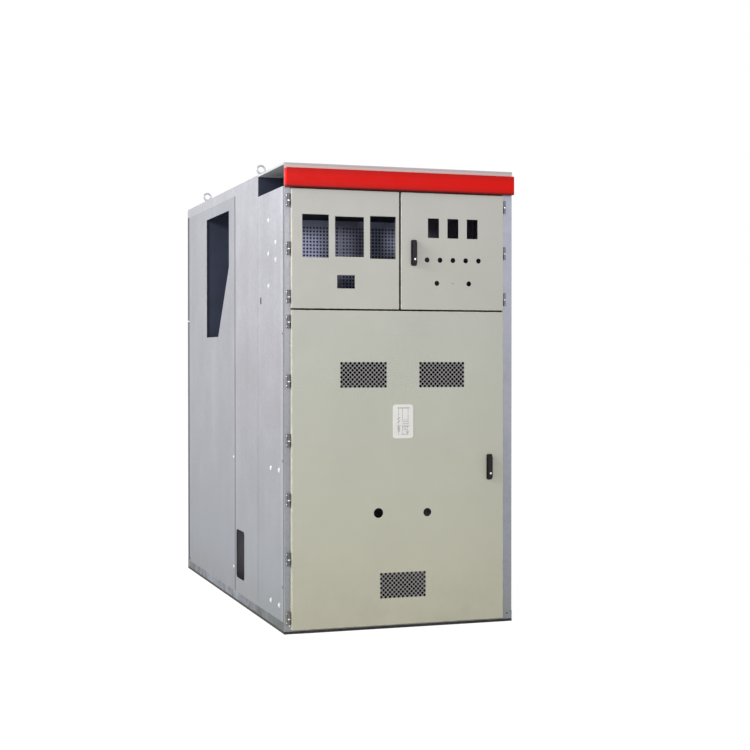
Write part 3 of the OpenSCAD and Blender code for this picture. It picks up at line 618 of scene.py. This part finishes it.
def add_bolt(seat, facing, size=1.0):
    """A hexagon head with a chamfered crown on a plain washer"""
    turn = facing.to_track_quat("Z", "Y").to_matrix() * size
    add_ring_stack(bolts, [(0.0146, 0, 0), (0.015, 0.0003, 0), (0.015, 0.001, 0), (0.0146, 0.0013, 0)],
                   seat, turn, 32)
    add_ring_stack(bolts, [(0.0115, 0.001, 0.01), (0.0115, 0.0046, 0.01), (0.01, 0.0056, 0.01),
                           (0.0094, 0.006, 0), (0.0088, 0.006, 0)], seat, turn, 36)


bolts = bmesh.new()
side_face_x = -panel_low.x
cad_bolts = weld("panel_bolts")
for low, high in islands(cad_bolts):
    middle = (low + high) / 2
    if high.x - low.x < high.y - low.y:  # a bolt in a side, and not in a rear cover
        facing = Vector((math.copysign(1, middle.x), 0, 0))
        seat = Vector((math.copysign(side_face_x, middle.x), middle.y, middle.z))
    else:
        facing = Vector((0, 1, 0))
        seat = Vector((middle.x, low.y, middle.z))
    add_bolt(seat, facing)
cad_bolts.free()

# Two smaller bolts a side close the joint of the modules, low down.

joint_bolt_y = rear_panel_low.y + 0.026
for mirror in (-1, 1):
    for joint_bolt_z in (0.22, 0.93):
        add_bolt(Vector((mirror * side_face_x, joint_bolt_y, joint_bolt_z)), Vector((mirror, 0, 0)), 0.7)
make_piece("hexagon_bolts", bolts, bright_steel, "cabinet", ["panel_bolts"])

# ------------------------------------------------------------------ inner walls
# Zinc-coated walls part the instrument compartment, the breaker compartment and the busbar
# chamber. They show only through the openings and past an open door.

for name in ("instrument_floor", "duct_floor", "mounting_rails", "module_walls"):
    finish_node(name, inner_zinc)

# The walls of the busbar chamber are dark blue-grey.
chamber_paint = even_finish("chamber_paint", [(56, 62, 80), (66, 73, 94)], mottle_scale=4.0,
                            gloss=(0.5, 0.62), gloss_scale=30.0, grain=(400.0, 0.1, 0.0005))
for name in ("busbar_front_wall", "busbar_slant_wall", "busbar_floor", "busbar_rear_wall"):
    finish_node(name, chamber_paint)

# The rear wall of the instrument compartment has the same dark finish, but a painted light makes it paler
# beside the mounting plate.

dark_finish_with_painted_light = chamber_paint.copy()
dark_finish_with_painted_light.name = "dark_finish_with_painted_light"
tree = dark_finish_with_painted_light.node_tree
plate_edge_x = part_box("mounting_plate")[1].x
painted_light_beside_plate = spread(tree, object_axes(tree)["X"], 0.0, 1.0, plate_edge_x - 0.01, plate_edge_x)
tint_finish(dark_finish_with_painted_light, painted_light_beside_plate, (158, 150, 172))
finish_node("instrument_rear_wall", dark_finish_with_painted_light)

# ------------------------------------------------------------------ perforated mounting plate
# The relays screw onto a galvanised sheet punched all over with round holes, with a plain strip along its
# top. It shows through the windows of the relay door. Over its upper part a painted shade darkens a patch of
# it, and a painted light brightens the rest.


def distance(tree, value, middle=0.0):
    """How far a value lies from a middle, to either side"""
    return math_node(tree, "ABSOLUTE", math_node(tree, "SUBTRACT", value, middle))


perforated_zinc = zinc_material("perforated_zinc", [(170, 174, 204), (170, 174, 204), (176, 180, 212)],
                                metallic=0.3, contrast=0.08)
tree = perforated_zinc.node_tree
axes = object_axes(tree)
shaded_patch_x, shaded_patch_foot_z = -0.17, 2.08
painted_light_and_shade_tone = spread(tree, distance(tree, axes["X"], shaded_patch_x), -0.44, 0.15, 0.08, 0.14)
shaded_patch_height = spread(tree, axes["Z"], 0.0, 1.0, shaded_patch_foot_z, shaded_patch_foot_z + 0.08)
shade_finish(perforated_zinc, math_node(tree, "ADD", multiply(tree, painted_light_and_shade_tone, shaded_patch_height), 1.0))
plate_low, plate_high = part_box("mounting_plate")
hole_pitch, hole_radius, hole_sides, plain_strip = 0.021, 0.007, 12, 0.036
columns = int((plate_high.x - plate_low.x - 0.02) / hole_pitch)
rows = int((plate_high.z - plate_low.z - plain_strip - 0.01) / hole_pitch)
first_x = (plate_low.x + plate_high.x - columns * hole_pitch) / 2
last_z = plate_high.z - plain_strip
perforated = bmesh.new()
corner_verts = {}


def plate_vert(x, y, z):
    """A vertex of the plate, made once for each place"""
    key = (round(x * 1e5), round(y * 1e5), round(z * 1e5))
    if key not in corner_verts:
        corner_verts[key] = perforated.verts.new((x, y, z))
    return corner_verts[key]


for column in range(columns):
    for row in range(rows):
        x0, x1 = first_x + column * hole_pitch, first_x + (column + 1) * hole_pitch
        z0, z1 = last_z - (row + 1) * hole_pitch, last_z - row * hole_pitch
        centre_x, centre_z = (x0 + x1) / 2, (z0 + z1) / 2
        rims = []
        for y in (plate_low.y, plate_high.y):
            rim = [perforated.verts.new((centre_x + hole_radius * math.cos(math.radians(45 + 30 * step)), y,
                                         centre_z + hole_radius * math.sin(math.radians(45 + 30 * step))))
                   for step in range(hole_sides)]
            corners = [plate_vert(x, y, z) for x, z in ((x1, z1), (x0, z1), (x0, z0), (x1, z0))]
            for quarter in range(4):
                arc = [rim[(quarter * 3 + step) % hole_sides] for step in range(4)]
                face = [corners[quarter], corners[(quarter + 1) % 4]] + list(reversed(arc))
                perforated.faces.new(face if y == plate_high.y else list(reversed(face)))
            rims.append(rim)
        for step in range(hole_sides):
            after = (step + 1) % hole_sides
            perforated.faces.new((rims[0][step], rims[0][after], rims[1][after], rims[1][step]))

# Plain bars of the sheet surround the punched field.

field_right, field_foot = first_x + columns * hole_pitch, last_z - rows * hole_pitch
for x0, x1, z0, z1 in ((plate_low.x, plate_high.x, last_z, plate_high.z),
                       (plate_low.x, plate_high.x, plate_low.z, field_foot),
                       (plate_low.x, first_x, field_foot, last_z),
                       (field_right, plate_high.x, field_foot, last_z)):
    add_block(perforated, (x0, plate_low.y, z0), (x1, plate_high.y, z1))
perforated.normal_update()
make_piece("perforated_plate", perforated, perforated_zinc, "cabinet", ["mounting_plate"])

# ------------------------------------------------------------------ roof and lifting eyes
# Sheet covers close the roof; flaps on it give way to gas. Four forged eyes are screwed into pads
# along the edges, for the sling of a crane.


def powder_coat_skin():
    """Satin powder coat. Tone is a factor near 1, Gloss is a roughness, Height is its orange peel."""
    group, given, result = new_group("powder coat skin", [("Roughness", "Float", 0.45),
                                                          ("Peel Scale", "Float", 420.0)],
                                     [("Tone", "Float"), ("Gloss", "Float"), ("Height", "Float")])
    place = object_place(group)
    clouds = noise(group, place, 2.2, 4.0, 0.55)
    group.links.new(spread(group, clouds, 0.965, 1.03), result["Tone"])
    group.links.new(math_node(group, "ADD", spread(group, noise(group, place, 14.0, 3.0), -0.05, 0.05),
                              given["Roughness"]), result["Gloss"])
    group.links.new(noise(group, place, given["Peel Scale"], 2.0, 0.5), result["Height"])
    return group


coat_group = powder_coat_skin()


def paint_material(name, tones, rub_and_highlight_tone, rub_and_highlight_amount=0.35, dust_and_shade_amount=0.0):
    """Powder-coated steel in three tones of painted light and shade by height"""
    material, tree, surface = new_material(name)
    coat = use_group(tree, coat_group, {"Roughness": 0.45})
    dust_and_shade = use_group(tree, dust_and_shade_group, {"Reach": 0.6, "Amount": dust_and_shade_amount})["Mask"]
    rub_and_highlight = use_group(tree, rub_and_highlight_group, {"Amount": rub_and_highlight_amount})["Mask"]
    dusty_and_shaded = blend(tree, dust_and_shade, shade(tree, painted_light_tones(tree, tones, 2.5), coat["Tone"]), dust_and_shade_colour)
    tree.links.new(blend(tree, rub_and_highlight, dusty_and_shaded, colour(*rub_and_highlight_tone)), surface.inputs["Base Color"])
    tree.links.new(math_node(tree, "ADD", coat["Gloss"], multiply(tree, dust_and_shade, 0.3)),
                   surface.inputs["Roughness"])
    add_bump(tree, surface, coat["Height"], 0.06, 0.0005)
    return material


# The folds of the cream paint carry a strong painted highlight.
cream_tones = [(200, 198, 177), (198, 200, 187), (205, 203, 197)]
cream_paint = paint_material("cream_paint", cream_tones, (246, 240, 224), rub_and_highlight_amount=0.8, dust_and_shade_amount=0.25)
pale_paint = paint_material("pale_paint", [(232, 222, 218)] * 3, (240, 236, 230))
grey_paint = paint_material("grey_paint", [(204, 205, 207)] * 3, (206, 206, 208))
roof_zinc = zinc_material("roof_zinc", [(180, 180, 187), (180, 180, 187), (193, 193, 201)])
forged_steel = zinc_material("forged_steel", [(170, 172, 176), (170, 172, 176), (186, 188, 192)],
                             metallic=0.7, roughness=0.4, contrast=0.1, crystal_scale=120.0)
fold_sheet("duct_front_plate", "duct_strip", pale_paint)
fold_sheet("front_roof", "front_roof_sheet", grey_paint)
fold_sheet("rear_roof", "rear_roof_cover", roof_zinc)
fold_sheet("relief_flaps", "roof_flaps", roof_zinc)
finish_node("lifting_eyes", forged_steel)

flap_screws, flaps = bmesh.new(), weld("relief_flaps")
for low, high in islands(flaps):
    across = [low.x + 0.02 + step * (high.x - low.x - 0.04) / 4 for step in range(5)]
    for screw_y in (low.y + 0.015, high.y - 0.015):
        for screw_x in across:
            add_ring_stack(flap_screws, [(0.006, 0, 0), (0.006, 0.0015, 0), (0.0045, 0.003, 0),
                                         (0.002, 0.0035, 0)], Vector((screw_x, screw_y, high.z)),
                           Matrix.Identity(3), 16)
flaps.free()
make_piece("roof_screws", flap_screws, bright_steel, "cabinet")

# ------------------------------------------------------------------ rear covers
# Two shallow covers of powder-coated sheet close the rear, each held by six bolts. Their side rims are
# coloured dark grey.

cover_paint = paint_material("cover_paint", cream_tones, (214, 210, 198), dust_and_shade_amount=0.25)
tree = cover_paint.node_tree
cover_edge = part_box("rear_covers")[1].x
from_middle = distance(tree, object_axes(tree)["X"])
tint_finish(cover_paint, spread(tree, from_middle, 0.0, 1.0, cover_edge - 0.006, cover_edge - 0.004),
            (104, 106, 110))
fold_sheet("rear_covers", "rear_cover_pair", cover_paint)

# ------------------------------------------------------------------ lintel
# A folded tray of sheet, powder coated signal red, runs over the doors from side to side. A painted shade
# makes it darker towards both rims, and darkest along the lower one.

red_paint = paint_material("red_paint", [(238, 15, 7)] * 3, (232, 60, 46))
lintel_low, lintel_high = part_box("lintel")
lintel_middle, half_height = (lintel_low + lintel_high) / 2, (lintel_high.z - lintel_low.z) / 2
tree = red_paint.node_tree
tree.nodes["Principled BSDF"].inputs["Specular IOR Level"].default_value = 0.15
height = object_axes(tree)["Z"]
painted_rim_shade = spread(tree, distance(tree, height, lintel_middle.z), 0.0, 0.75, half_height * 0.3, half_height)
painted_underside_shade = spread(tree, height, 0.85, 0.0, lintel_low.z + 0.003, lintel_low.z + 0.014)
tint_finish(red_paint, painted_rim_shade, (190, 24, 18))
tint_finish(red_paint, painted_underside_shade, (84, 10, 8))

end_radius, long_radius, lintel_sheet = 0.011, 0.006, 0.002
tray = bmesh.new()
add_block(tray, lintel_low, lintel_high)
bmesh.ops.delete(tray, geom=[face for face in tray.faces if face.normal.y > 0.5], context="FACES_ONLY")
end_edges = [edge for edge in tray.edges if len(edge.link_faces) == 2
             and abs(edge.verts[0].co.x + edge.verts[1].co.x) / 2 > lintel_high.x / 2]
bevel(tray, end_edges, end_radius, 5)
long_edges = [edge for edge in tray.edges if edge.calc_length() > lintel_high.x
              and len(edge.link_faces) == 2 and edge.calc_face_angle() > 1.0]
bevel(tray, long_edges, long_radius, 4)
bmesh.ops.recalc_face_normals(tray, faces=tray.faces)
if sum((face.calc_center_median() - lintel_middle).dot(face.normal) for face in tray.faces) < 0:
    bmesh.ops.reverse_faces(tray, faces=tray.faces)
lintel_piece = make_piece("red_lintel", tray, red_paint, "cabinet", ["lintel"])
lintel_wall = lintel_piece.modifiers.new("sheet", "SOLIDIFY")
lintel_wall.thickness = lintel_sheet
lintel_wall.offset = -1

# ------------------------------------------------------------------ doors
# Folded steel pans, powder coated cream: a wide relay door and a narrow control door above, and
# the tall main door with its punched grilles below. Each hangs on lift-off hinges.

fold_sheet("relay_door", "relay_door_pan", cream_paint, radius=0.003)
fold_sheet("control_door", "control_door_pan", cream_paint, radius=0.003)
finish_node("main_door_stiffeners", inner_zinc)

# The paint is darker between the holes of the three grilles, each given by the place of its middle.

grille_darkened_paint = cream_paint.copy()
grille_darkened_paint.name = "main_door_paint"
tree = grille_darkened_paint.node_tree
axes = object_axes(tree)
door_low, door_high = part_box("main_door")
pattern_x = (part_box("diagram_plate")[0].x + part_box("diagram_plate")[1].x) / 2
upper_z, lower_z = door_high.z - 0.368, door_low.z + 0.228
grille_offset, grille_half_x, grille_half_z, darkening_fade = 0.24, 0.136, 0.069, 0.007
grille_darkening = 0.0
for grille_x, grille_z in ((pattern_x - grille_offset, upper_z), (pattern_x + grille_offset, upper_z),
                           (pattern_x, lower_z)):
    off_x, off_z = distance(tree, axes["X"], grille_x), distance(tree, axes["Z"], grille_z)
    in_grille = multiply(tree, spread(tree, off_x, 0.9, 0.0, grille_half_x, grille_half_x + darkening_fade),
                         spread(tree, off_z, 1.0, 0.0, grille_half_z, grille_half_z + darkening_fade))
    grille_darkening = math_node(tree, "MAXIMUM", grille_darkening, in_grille)
tint_finish(grille_darkened_paint, grille_darkening, (134, 131, 133))
fold_sheet("main_door", "main_door_pan", grille_darkened_paint, radius=0.003)

# A black rubber seal sits on the frame behind the edge of each door and a little outside it; where it shows
# in the gaps around the doors, its black is partly a painted shade. Along the left post its outer lip is
# pale, a painted light for the lit edge of the door.

painted_light_lip_finish = even_finish("painted_light_lip_finish", [(214, 208, 198), (222, 216, 206)], mottle_scale=30.0,
                          gloss=(0.6, 0.75), gloss_scale=60.0, grain=(300.0, 0.25, 0.001), grain_detail=3.0)
seal_inside, seal_outside, seal_gap = 0.012, 0.004, 0.0003
lip_inside, lip_outside = 0.001, 0.0005
seal_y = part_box("front_posts")[0].y - 0.0001
seals_and_gap_shade, painted_light_lips = bmesh.new(), bmesh.new()
for door_name in ("main_door", "relay_door", "control_door"):
    door_low, door_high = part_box(door_name)
    seal_front_y = door_high.y + seal_gap
    outer_low, outer_high = door_low.x - seal_outside, door_high.x + seal_outside
    if door_name != "control_door":
        outer_low = door_low.x + lip_inside
        add_block(painted_light_lips, (door_low.x - lip_outside, seal_front_y, door_low.z),
                  (outer_low, seal_y, door_high.z))
    inner_low, inner_high = door_low.x + seal_inside, door_high.x - seal_inside
    foot, top = door_low.z - seal_outside, door_high.z + seal_outside
    for low_x, high_x, low_z, high_z in ((outer_low, inner_low, foot, top),
                                         (inner_high, outer_high, foot, top),
                                         (inner_low, inner_high, foot, door_low.z + seal_inside),
                                         (inner_low, inner_high, door_high.z - seal_inside, top)):
        add_block(seals_and_gap_shade, (low_x, seal_front_y, low_z), (high_x, seal_y, high_z))
make_piece("door_seals_and_gap_shade", seals_and_gap_shade, foam, "cabinet")
make_piece("hinge_side_light_lips", painted_light_lips, painted_light_lip_finish, "cabinet")

# ------------------------------------------------------------------ diagram plate
# A white laminate plate with rounded corners is fixed to the middle of the main door, and a line
# diagram is printed on it.

white_laminate = even_finish("white_laminate", [(242, 240, 235), (248, 246, 242)], mottle_scale=12.0,
                             gloss=(0.3, 0.4), gloss_scale=30.0, grain=(500.0, 0.05, 0.0003))
print_grey = even_finish("print_grey", [(158, 156, 160), (172, 170, 173)], mottle_scale=90.0,
                         gloss=(0.4, 0.5), gloss_scale=30.0, grain=(500.0, 0.05, 0.0003))

plate_low, plate_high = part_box("diagram_plate")
plate_x, plate_z = (plate_low.x + plate_high.x) / 2, (plate_low.z + plate_high.z) / 2
plate_half_w, plate_half_h = (plate_high.x - plate_low.x) / 2, (plate_high.z - plate_low.z) / 2
plate_corner, print_thickness = 0.017, 0.0002
face_y = plate_low.y + print_thickness
laminate = bmesh.new()
outline = []
for corner in range(4):
    middle_x = plate_x + (plate_half_w - plate_corner) * (1, -1, -1, 1)[corner]
    middle_z = plate_z + (plate_half_h - plate_corner) * (1, 1, -1, -1)[corner]
    for step in range(9):
        angle = math.radians(90 * corner + 90 * step / 8)
        outline.append((middle_x + plate_corner * math.cos(angle), middle_z + plate_corner * math.sin(angle)))
loops = [[laminate.verts.new((plate_x + (x - plate_x) * scale, y, plate_z + (z - plate_z) * scale))
          for x, z in outline]
         for y, scale in ((plate_high.y, 1.0), (face_y + 0.0005, 1.0), (face_y, 0.992))]
for behind, before in zip(loops, loops[1:]):
    for step in range(len(outline)):
        after = (step + 1) % len(outline)
        laminate.faces.new((behind[step], behind[after], before[after], before[step]))
laminate.faces.new(loops[-1])
laminate.faces.new(list(reversed(loops[0])))
bmesh.ops.recalc_face_normals(laminate, faces=laminate.faces)
make_piece("diagram_laminate", laminate, white_laminate, nodes["diagram_plate"]["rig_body"],
           ["diagram_plate"])

# The diagram is printed in grey: a busbar over three feeders, with short bars for the switches and
# rings for the windings.

diagram = bmesh.new()


def draw_bar(x0, z0, x1, z1, width=2.0):
    """A printed line between two points, in millimetres from the middle of the plate"""
    start, end = Vector((x0, 0, z0)) / 1000, Vector((x1, 0, z1)) / 1000
    along = (end - start).normalized() * width / 2000
    across = Vector((-along.z, 0, along.x))
    corners = [start - along - across, start - along + across, end + along + across, end + along - across]
    layers = [[diagram.verts.new(Vector((plate_x, y, plate_z)) + corner) for corner in corners]
              for y in (face_y, plate_low.y)]
    diagram.faces.new(layers[1])
    for step in range(4):
        after = (step + 1) % 4
        diagram.faces.new((layers[0][step], layers[0][after], layers[1][after], layers[1][step]))


def draw_ring(x, z, radius, sides=20):
    for step in range(sides):
        here, there = (2 * math.pi * (step + shift) / sides for shift in (0, 1))
        draw_bar(x + radius * math.cos(here), z + radius * math.sin(here),
                 x + radius * math.cos(there), z + radius * math.sin(there), 1.6)


draw_bar(-32, 78, 36, 78, 4.5)
for feeder_x in (-28, -4, 30):
    draw_bar(feeder_x, 78, feeder_x, 8 if feeder_x > -28 else -78)
for low, high in ((-8, 6), (14, 22)):
    draw_bar(-36, low, -20, high, 3.0)
draw_bar(-4, 8, 30, 8)
for rung in (-2, -14, -30):
    draw_bar(-4, rung, 34, rung, 3.0)
for ring_x, ring_z in ((-28, -36), (-28, -52), (10, -44), (26, -60)):
    draw_ring(ring_x, ring_z, 6)
draw_bar(-40, -24, 38, -24, 1.6)
draw_bar(-4, -30, -4, -74)
draw_bar(26, -30, 26, -54)
draw_bar(26, -66, 26, -74)
draw_bar(-10, -74, 32, -74, 3.0)
bmesh.ops.recalc_face_normals(diagram, faces=diagram.faces)
make_piece("diagram_print", diagram, print_grey, nodes["diagram_plate"]["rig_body"])

# ------------------------------------------------------------------ handles
# Die-cast swing handles, powder coated black: a base plate on the door, a spindle and a lever that
# lifts and turns, with a key cylinder at the lower end.


def black_casting(name, tone):
    """Black powder-coated casting"""
    material, tree, surface = new_material(name)
    coat = use_group(tree, coat_group, {"Roughness": 0.42})
    tree.links.new(shade(tree, colour(*tone)[:3], coat["Tone"]), surface.inputs["Base Color"])
    tree.links.new(coat["Gloss"], surface.inputs["Roughness"])
    surface.inputs["Specular IOR Level"].default_value = 0.2
    add_bump(tree, surface, coat["Height"], 0.15, 0.0005)
    return material


lock_depth, lock_drop, slot_half_width, slot_half_length = 0.002, 0.099, 0.0005, 0.003


def cylinder_lock(lever_box):
    """A bright key cylinder set in its seat in the lever, with a raised rim and a key slot"""
    low, high = lever_box
    lock = bmesh.new()
    facing = Matrix.Rotation(math.radians(90), 3, "X")
    seat = Vector(((low.x + high.x) / 2, low.y + lock_depth, high.z - lock_drop))
    add_ring_stack(lock, [(0.0062, 0, 0), (0.0062, 0.0014, 0), (0.0058, 0.0018, 0), (0.005, 0.0018, 0),
                          (0.0048, 0.0012, 0), (0.001, 0.0012, 0)], seat, facing, 32)
    add_block(lock, (seat.x - slot_half_width, seat.y - 0.0014, seat.z - slot_half_length),
              (seat.x + slot_half_width, seat.y - 0.0008, seat.z + slot_half_length))
    return lock


dark_steel = zinc_material("dark_steel", [(60, 60, 62), (60, 60, 62), (66, 64, 68)], roughness=0.4,
                           contrast=0.1)
for door_name, tone in (("main", (26, 27, 27)), ("control", (34, 30, 36))):
    casting = black_casting(door_name + "_casting", tone)
    for part in ("handle_base", "handle_lever"):
        node_name = door_name + "_" + part
        fold_sheet(node_name, node_name.replace("handle", "swing_handle"), casting,
                   radius=0.0015)
    lever_name = door_name + "_handle_lever"
    make_piece(door_name + "_key_cylinder", cylinder_lock(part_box(lever_name)), bright_steel,
               nodes[lever_name]["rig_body"])
    finish_node(door_name + "_handle_spindle", dark_steel)

# ------------------------------------------------------------------ hinges
# Lift-off hinges of galvanised steel: a leaf screwed to the post carries the lower barrel with its
# pin, and the upper barrel turns with the door. A bright bearing collar parts the two.

leaf_zinc = zinc_material("leaf_zinc", [(138, 138, 140), (146, 146, 150), (150, 150, 156)],
                          metallic=0.5, roughness=0.45, contrast=0.1)
barrel_zinc = zinc_material("barrel_zinc", [(92, 92, 92), (100, 100, 102), (104, 104, 108)],
                            metallic=0.5, roughness=0.5, contrast=0.1)

# A painted light makes the hinges on the right post brighter than those on the left.

for hinge_zinc, painted_light_tone in ((leaf_zinc, (160, 164, 176)), (barrel_zinc, (128, 131, 140))):
    tree = hinge_zinc.node_tree
    tint_finish(hinge_zinc, spread(tree, object_axes(tree)["X"], 0.0, 0.85, -0.1, 0.1), painted_light_tone)
barrel_radius, barrel_chamfer, barrel_gap = 0.007, 0.0009, 0.002
pin_inset, pin_stand_off, pin_radius, collar_height = 0.015, 0.014, 0.0034, 0.005
leaf_thickness, leaf_reach, web_half, web_inset = 0.003, 0.0075, 0.002, 0.0005
screw_rise, screw_inset = 0.026, 0.005
screw_rings = [(0.0035, 0, 0), (0.0035, 0.0006, 0), (0.0028, 0.0016, 0), (0.001, 0.0019, 0)]


def add_barrel(shape, axis, low_z, high_z):
    """A barrel with chamfered ends"""
    height = high_z - low_z
    add_ring_stack(shape, [(barrel_radius - barrel_chamfer, 0, 0), (barrel_radius, barrel_chamfer, 0),
                           (barrel_radius, height - barrel_chamfer, 0),
                           (barrel_radius - barrel_chamfer, height, 0)],
                   Vector((axis.x, axis.y, low_z)), Matrix.Identity(3), 24)


leaves, fixed_barrels, collars, leaf_screws = bmesh.new(), bmesh.new(), bmesh.new(), bmesh.new()
facing = Matrix.Rotation(math.radians(90), 3, "X")
cad_hinges = weld("fixed_hinge_halves")
for low, high in islands(cad_hinges):
    side = math.copysign(1, low.x)
    outer_x = high.x if side > 0 else low.x
    leaf_face_y = high.y - leaf_thickness
    axis = Vector((outer_x - side * pin_inset, high.y - pin_stand_off, 0))
    half_z = low.z + (high.z - low.z - barrel_gap) / 2
    add_block(leaves, (outer_x, leaf_face_y, low.z), (axis.x - side * leaf_reach, high.y, high.z))
    add_block(fixed_barrels, (axis.x - web_half, axis.y, low.z + web_inset),
              (axis.x + web_half, leaf_face_y, half_z - web_inset))
    add_barrel(fixed_barrels, axis, low.z, half_z - collar_height)
    add_ring_stack(collars, [(0.0068, -collar_height, 0), (0.007, -0.0045, 0), (0.007, 0.001, 0),
                             (0.0066, 0.0014, 0), (pin_radius, 0.0014, 0),
                             (pin_radius, high.z - half_z - barrel_gap, 0)],
                   Vector((axis.x, axis.y, half_z)), Matrix.Identity(3), 24)
    for rise in (-screw_rise, screw_rise):
        screw_seat = Vector((outer_x - side * screw_inset, leaf_face_y, (low.z + high.z) / 2 + rise))
        add_ring_stack(leaf_screws, screw_rings, screw_seat, facing, 20)
cad_hinges.free()
bevel(leaves, leaves.edges[:], 0.0006, 2)
make_piece("hinge_leaves", leaves, leaf_zinc, "cabinet", ["fixed_hinge_halves"])
make_piece("fixed_barrels", fixed_barrels, barrel_zinc, "cabinet")
make_piece("hinge_collars", collars, bright_steel, "cabinet")
make_piece("hinge_screws", leaf_screws, bright_steel, "cabinet")
for name in ("main_door_hinges", "relay_door_hinges", "control_door_hinges"):
    side = 1 if name == "control_door_hinges" else -1
    shape, cad_hinges = bmesh.new(), weld(name)
    for low, high in islands(cad_hinges):
        outer_x, arm_end = (high.x, low.x) if side > 0 else (low.x, high.x)
        axis = Vector((outer_x - side * barrel_radius, (low.y + high.y) / 2, 0))
        add_barrel(shape, axis, low.z, high.z)
        add_block(shape, (axis.x, axis.y - web_half, low.z + web_inset),
                  (arm_end, axis.y + web_half, high.z - web_inset))
    cad_hinges.free()
    make_piece(name.replace("hinges", "barrels"), shape, barrel_zinc, nodes[name]["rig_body"],
               [name])
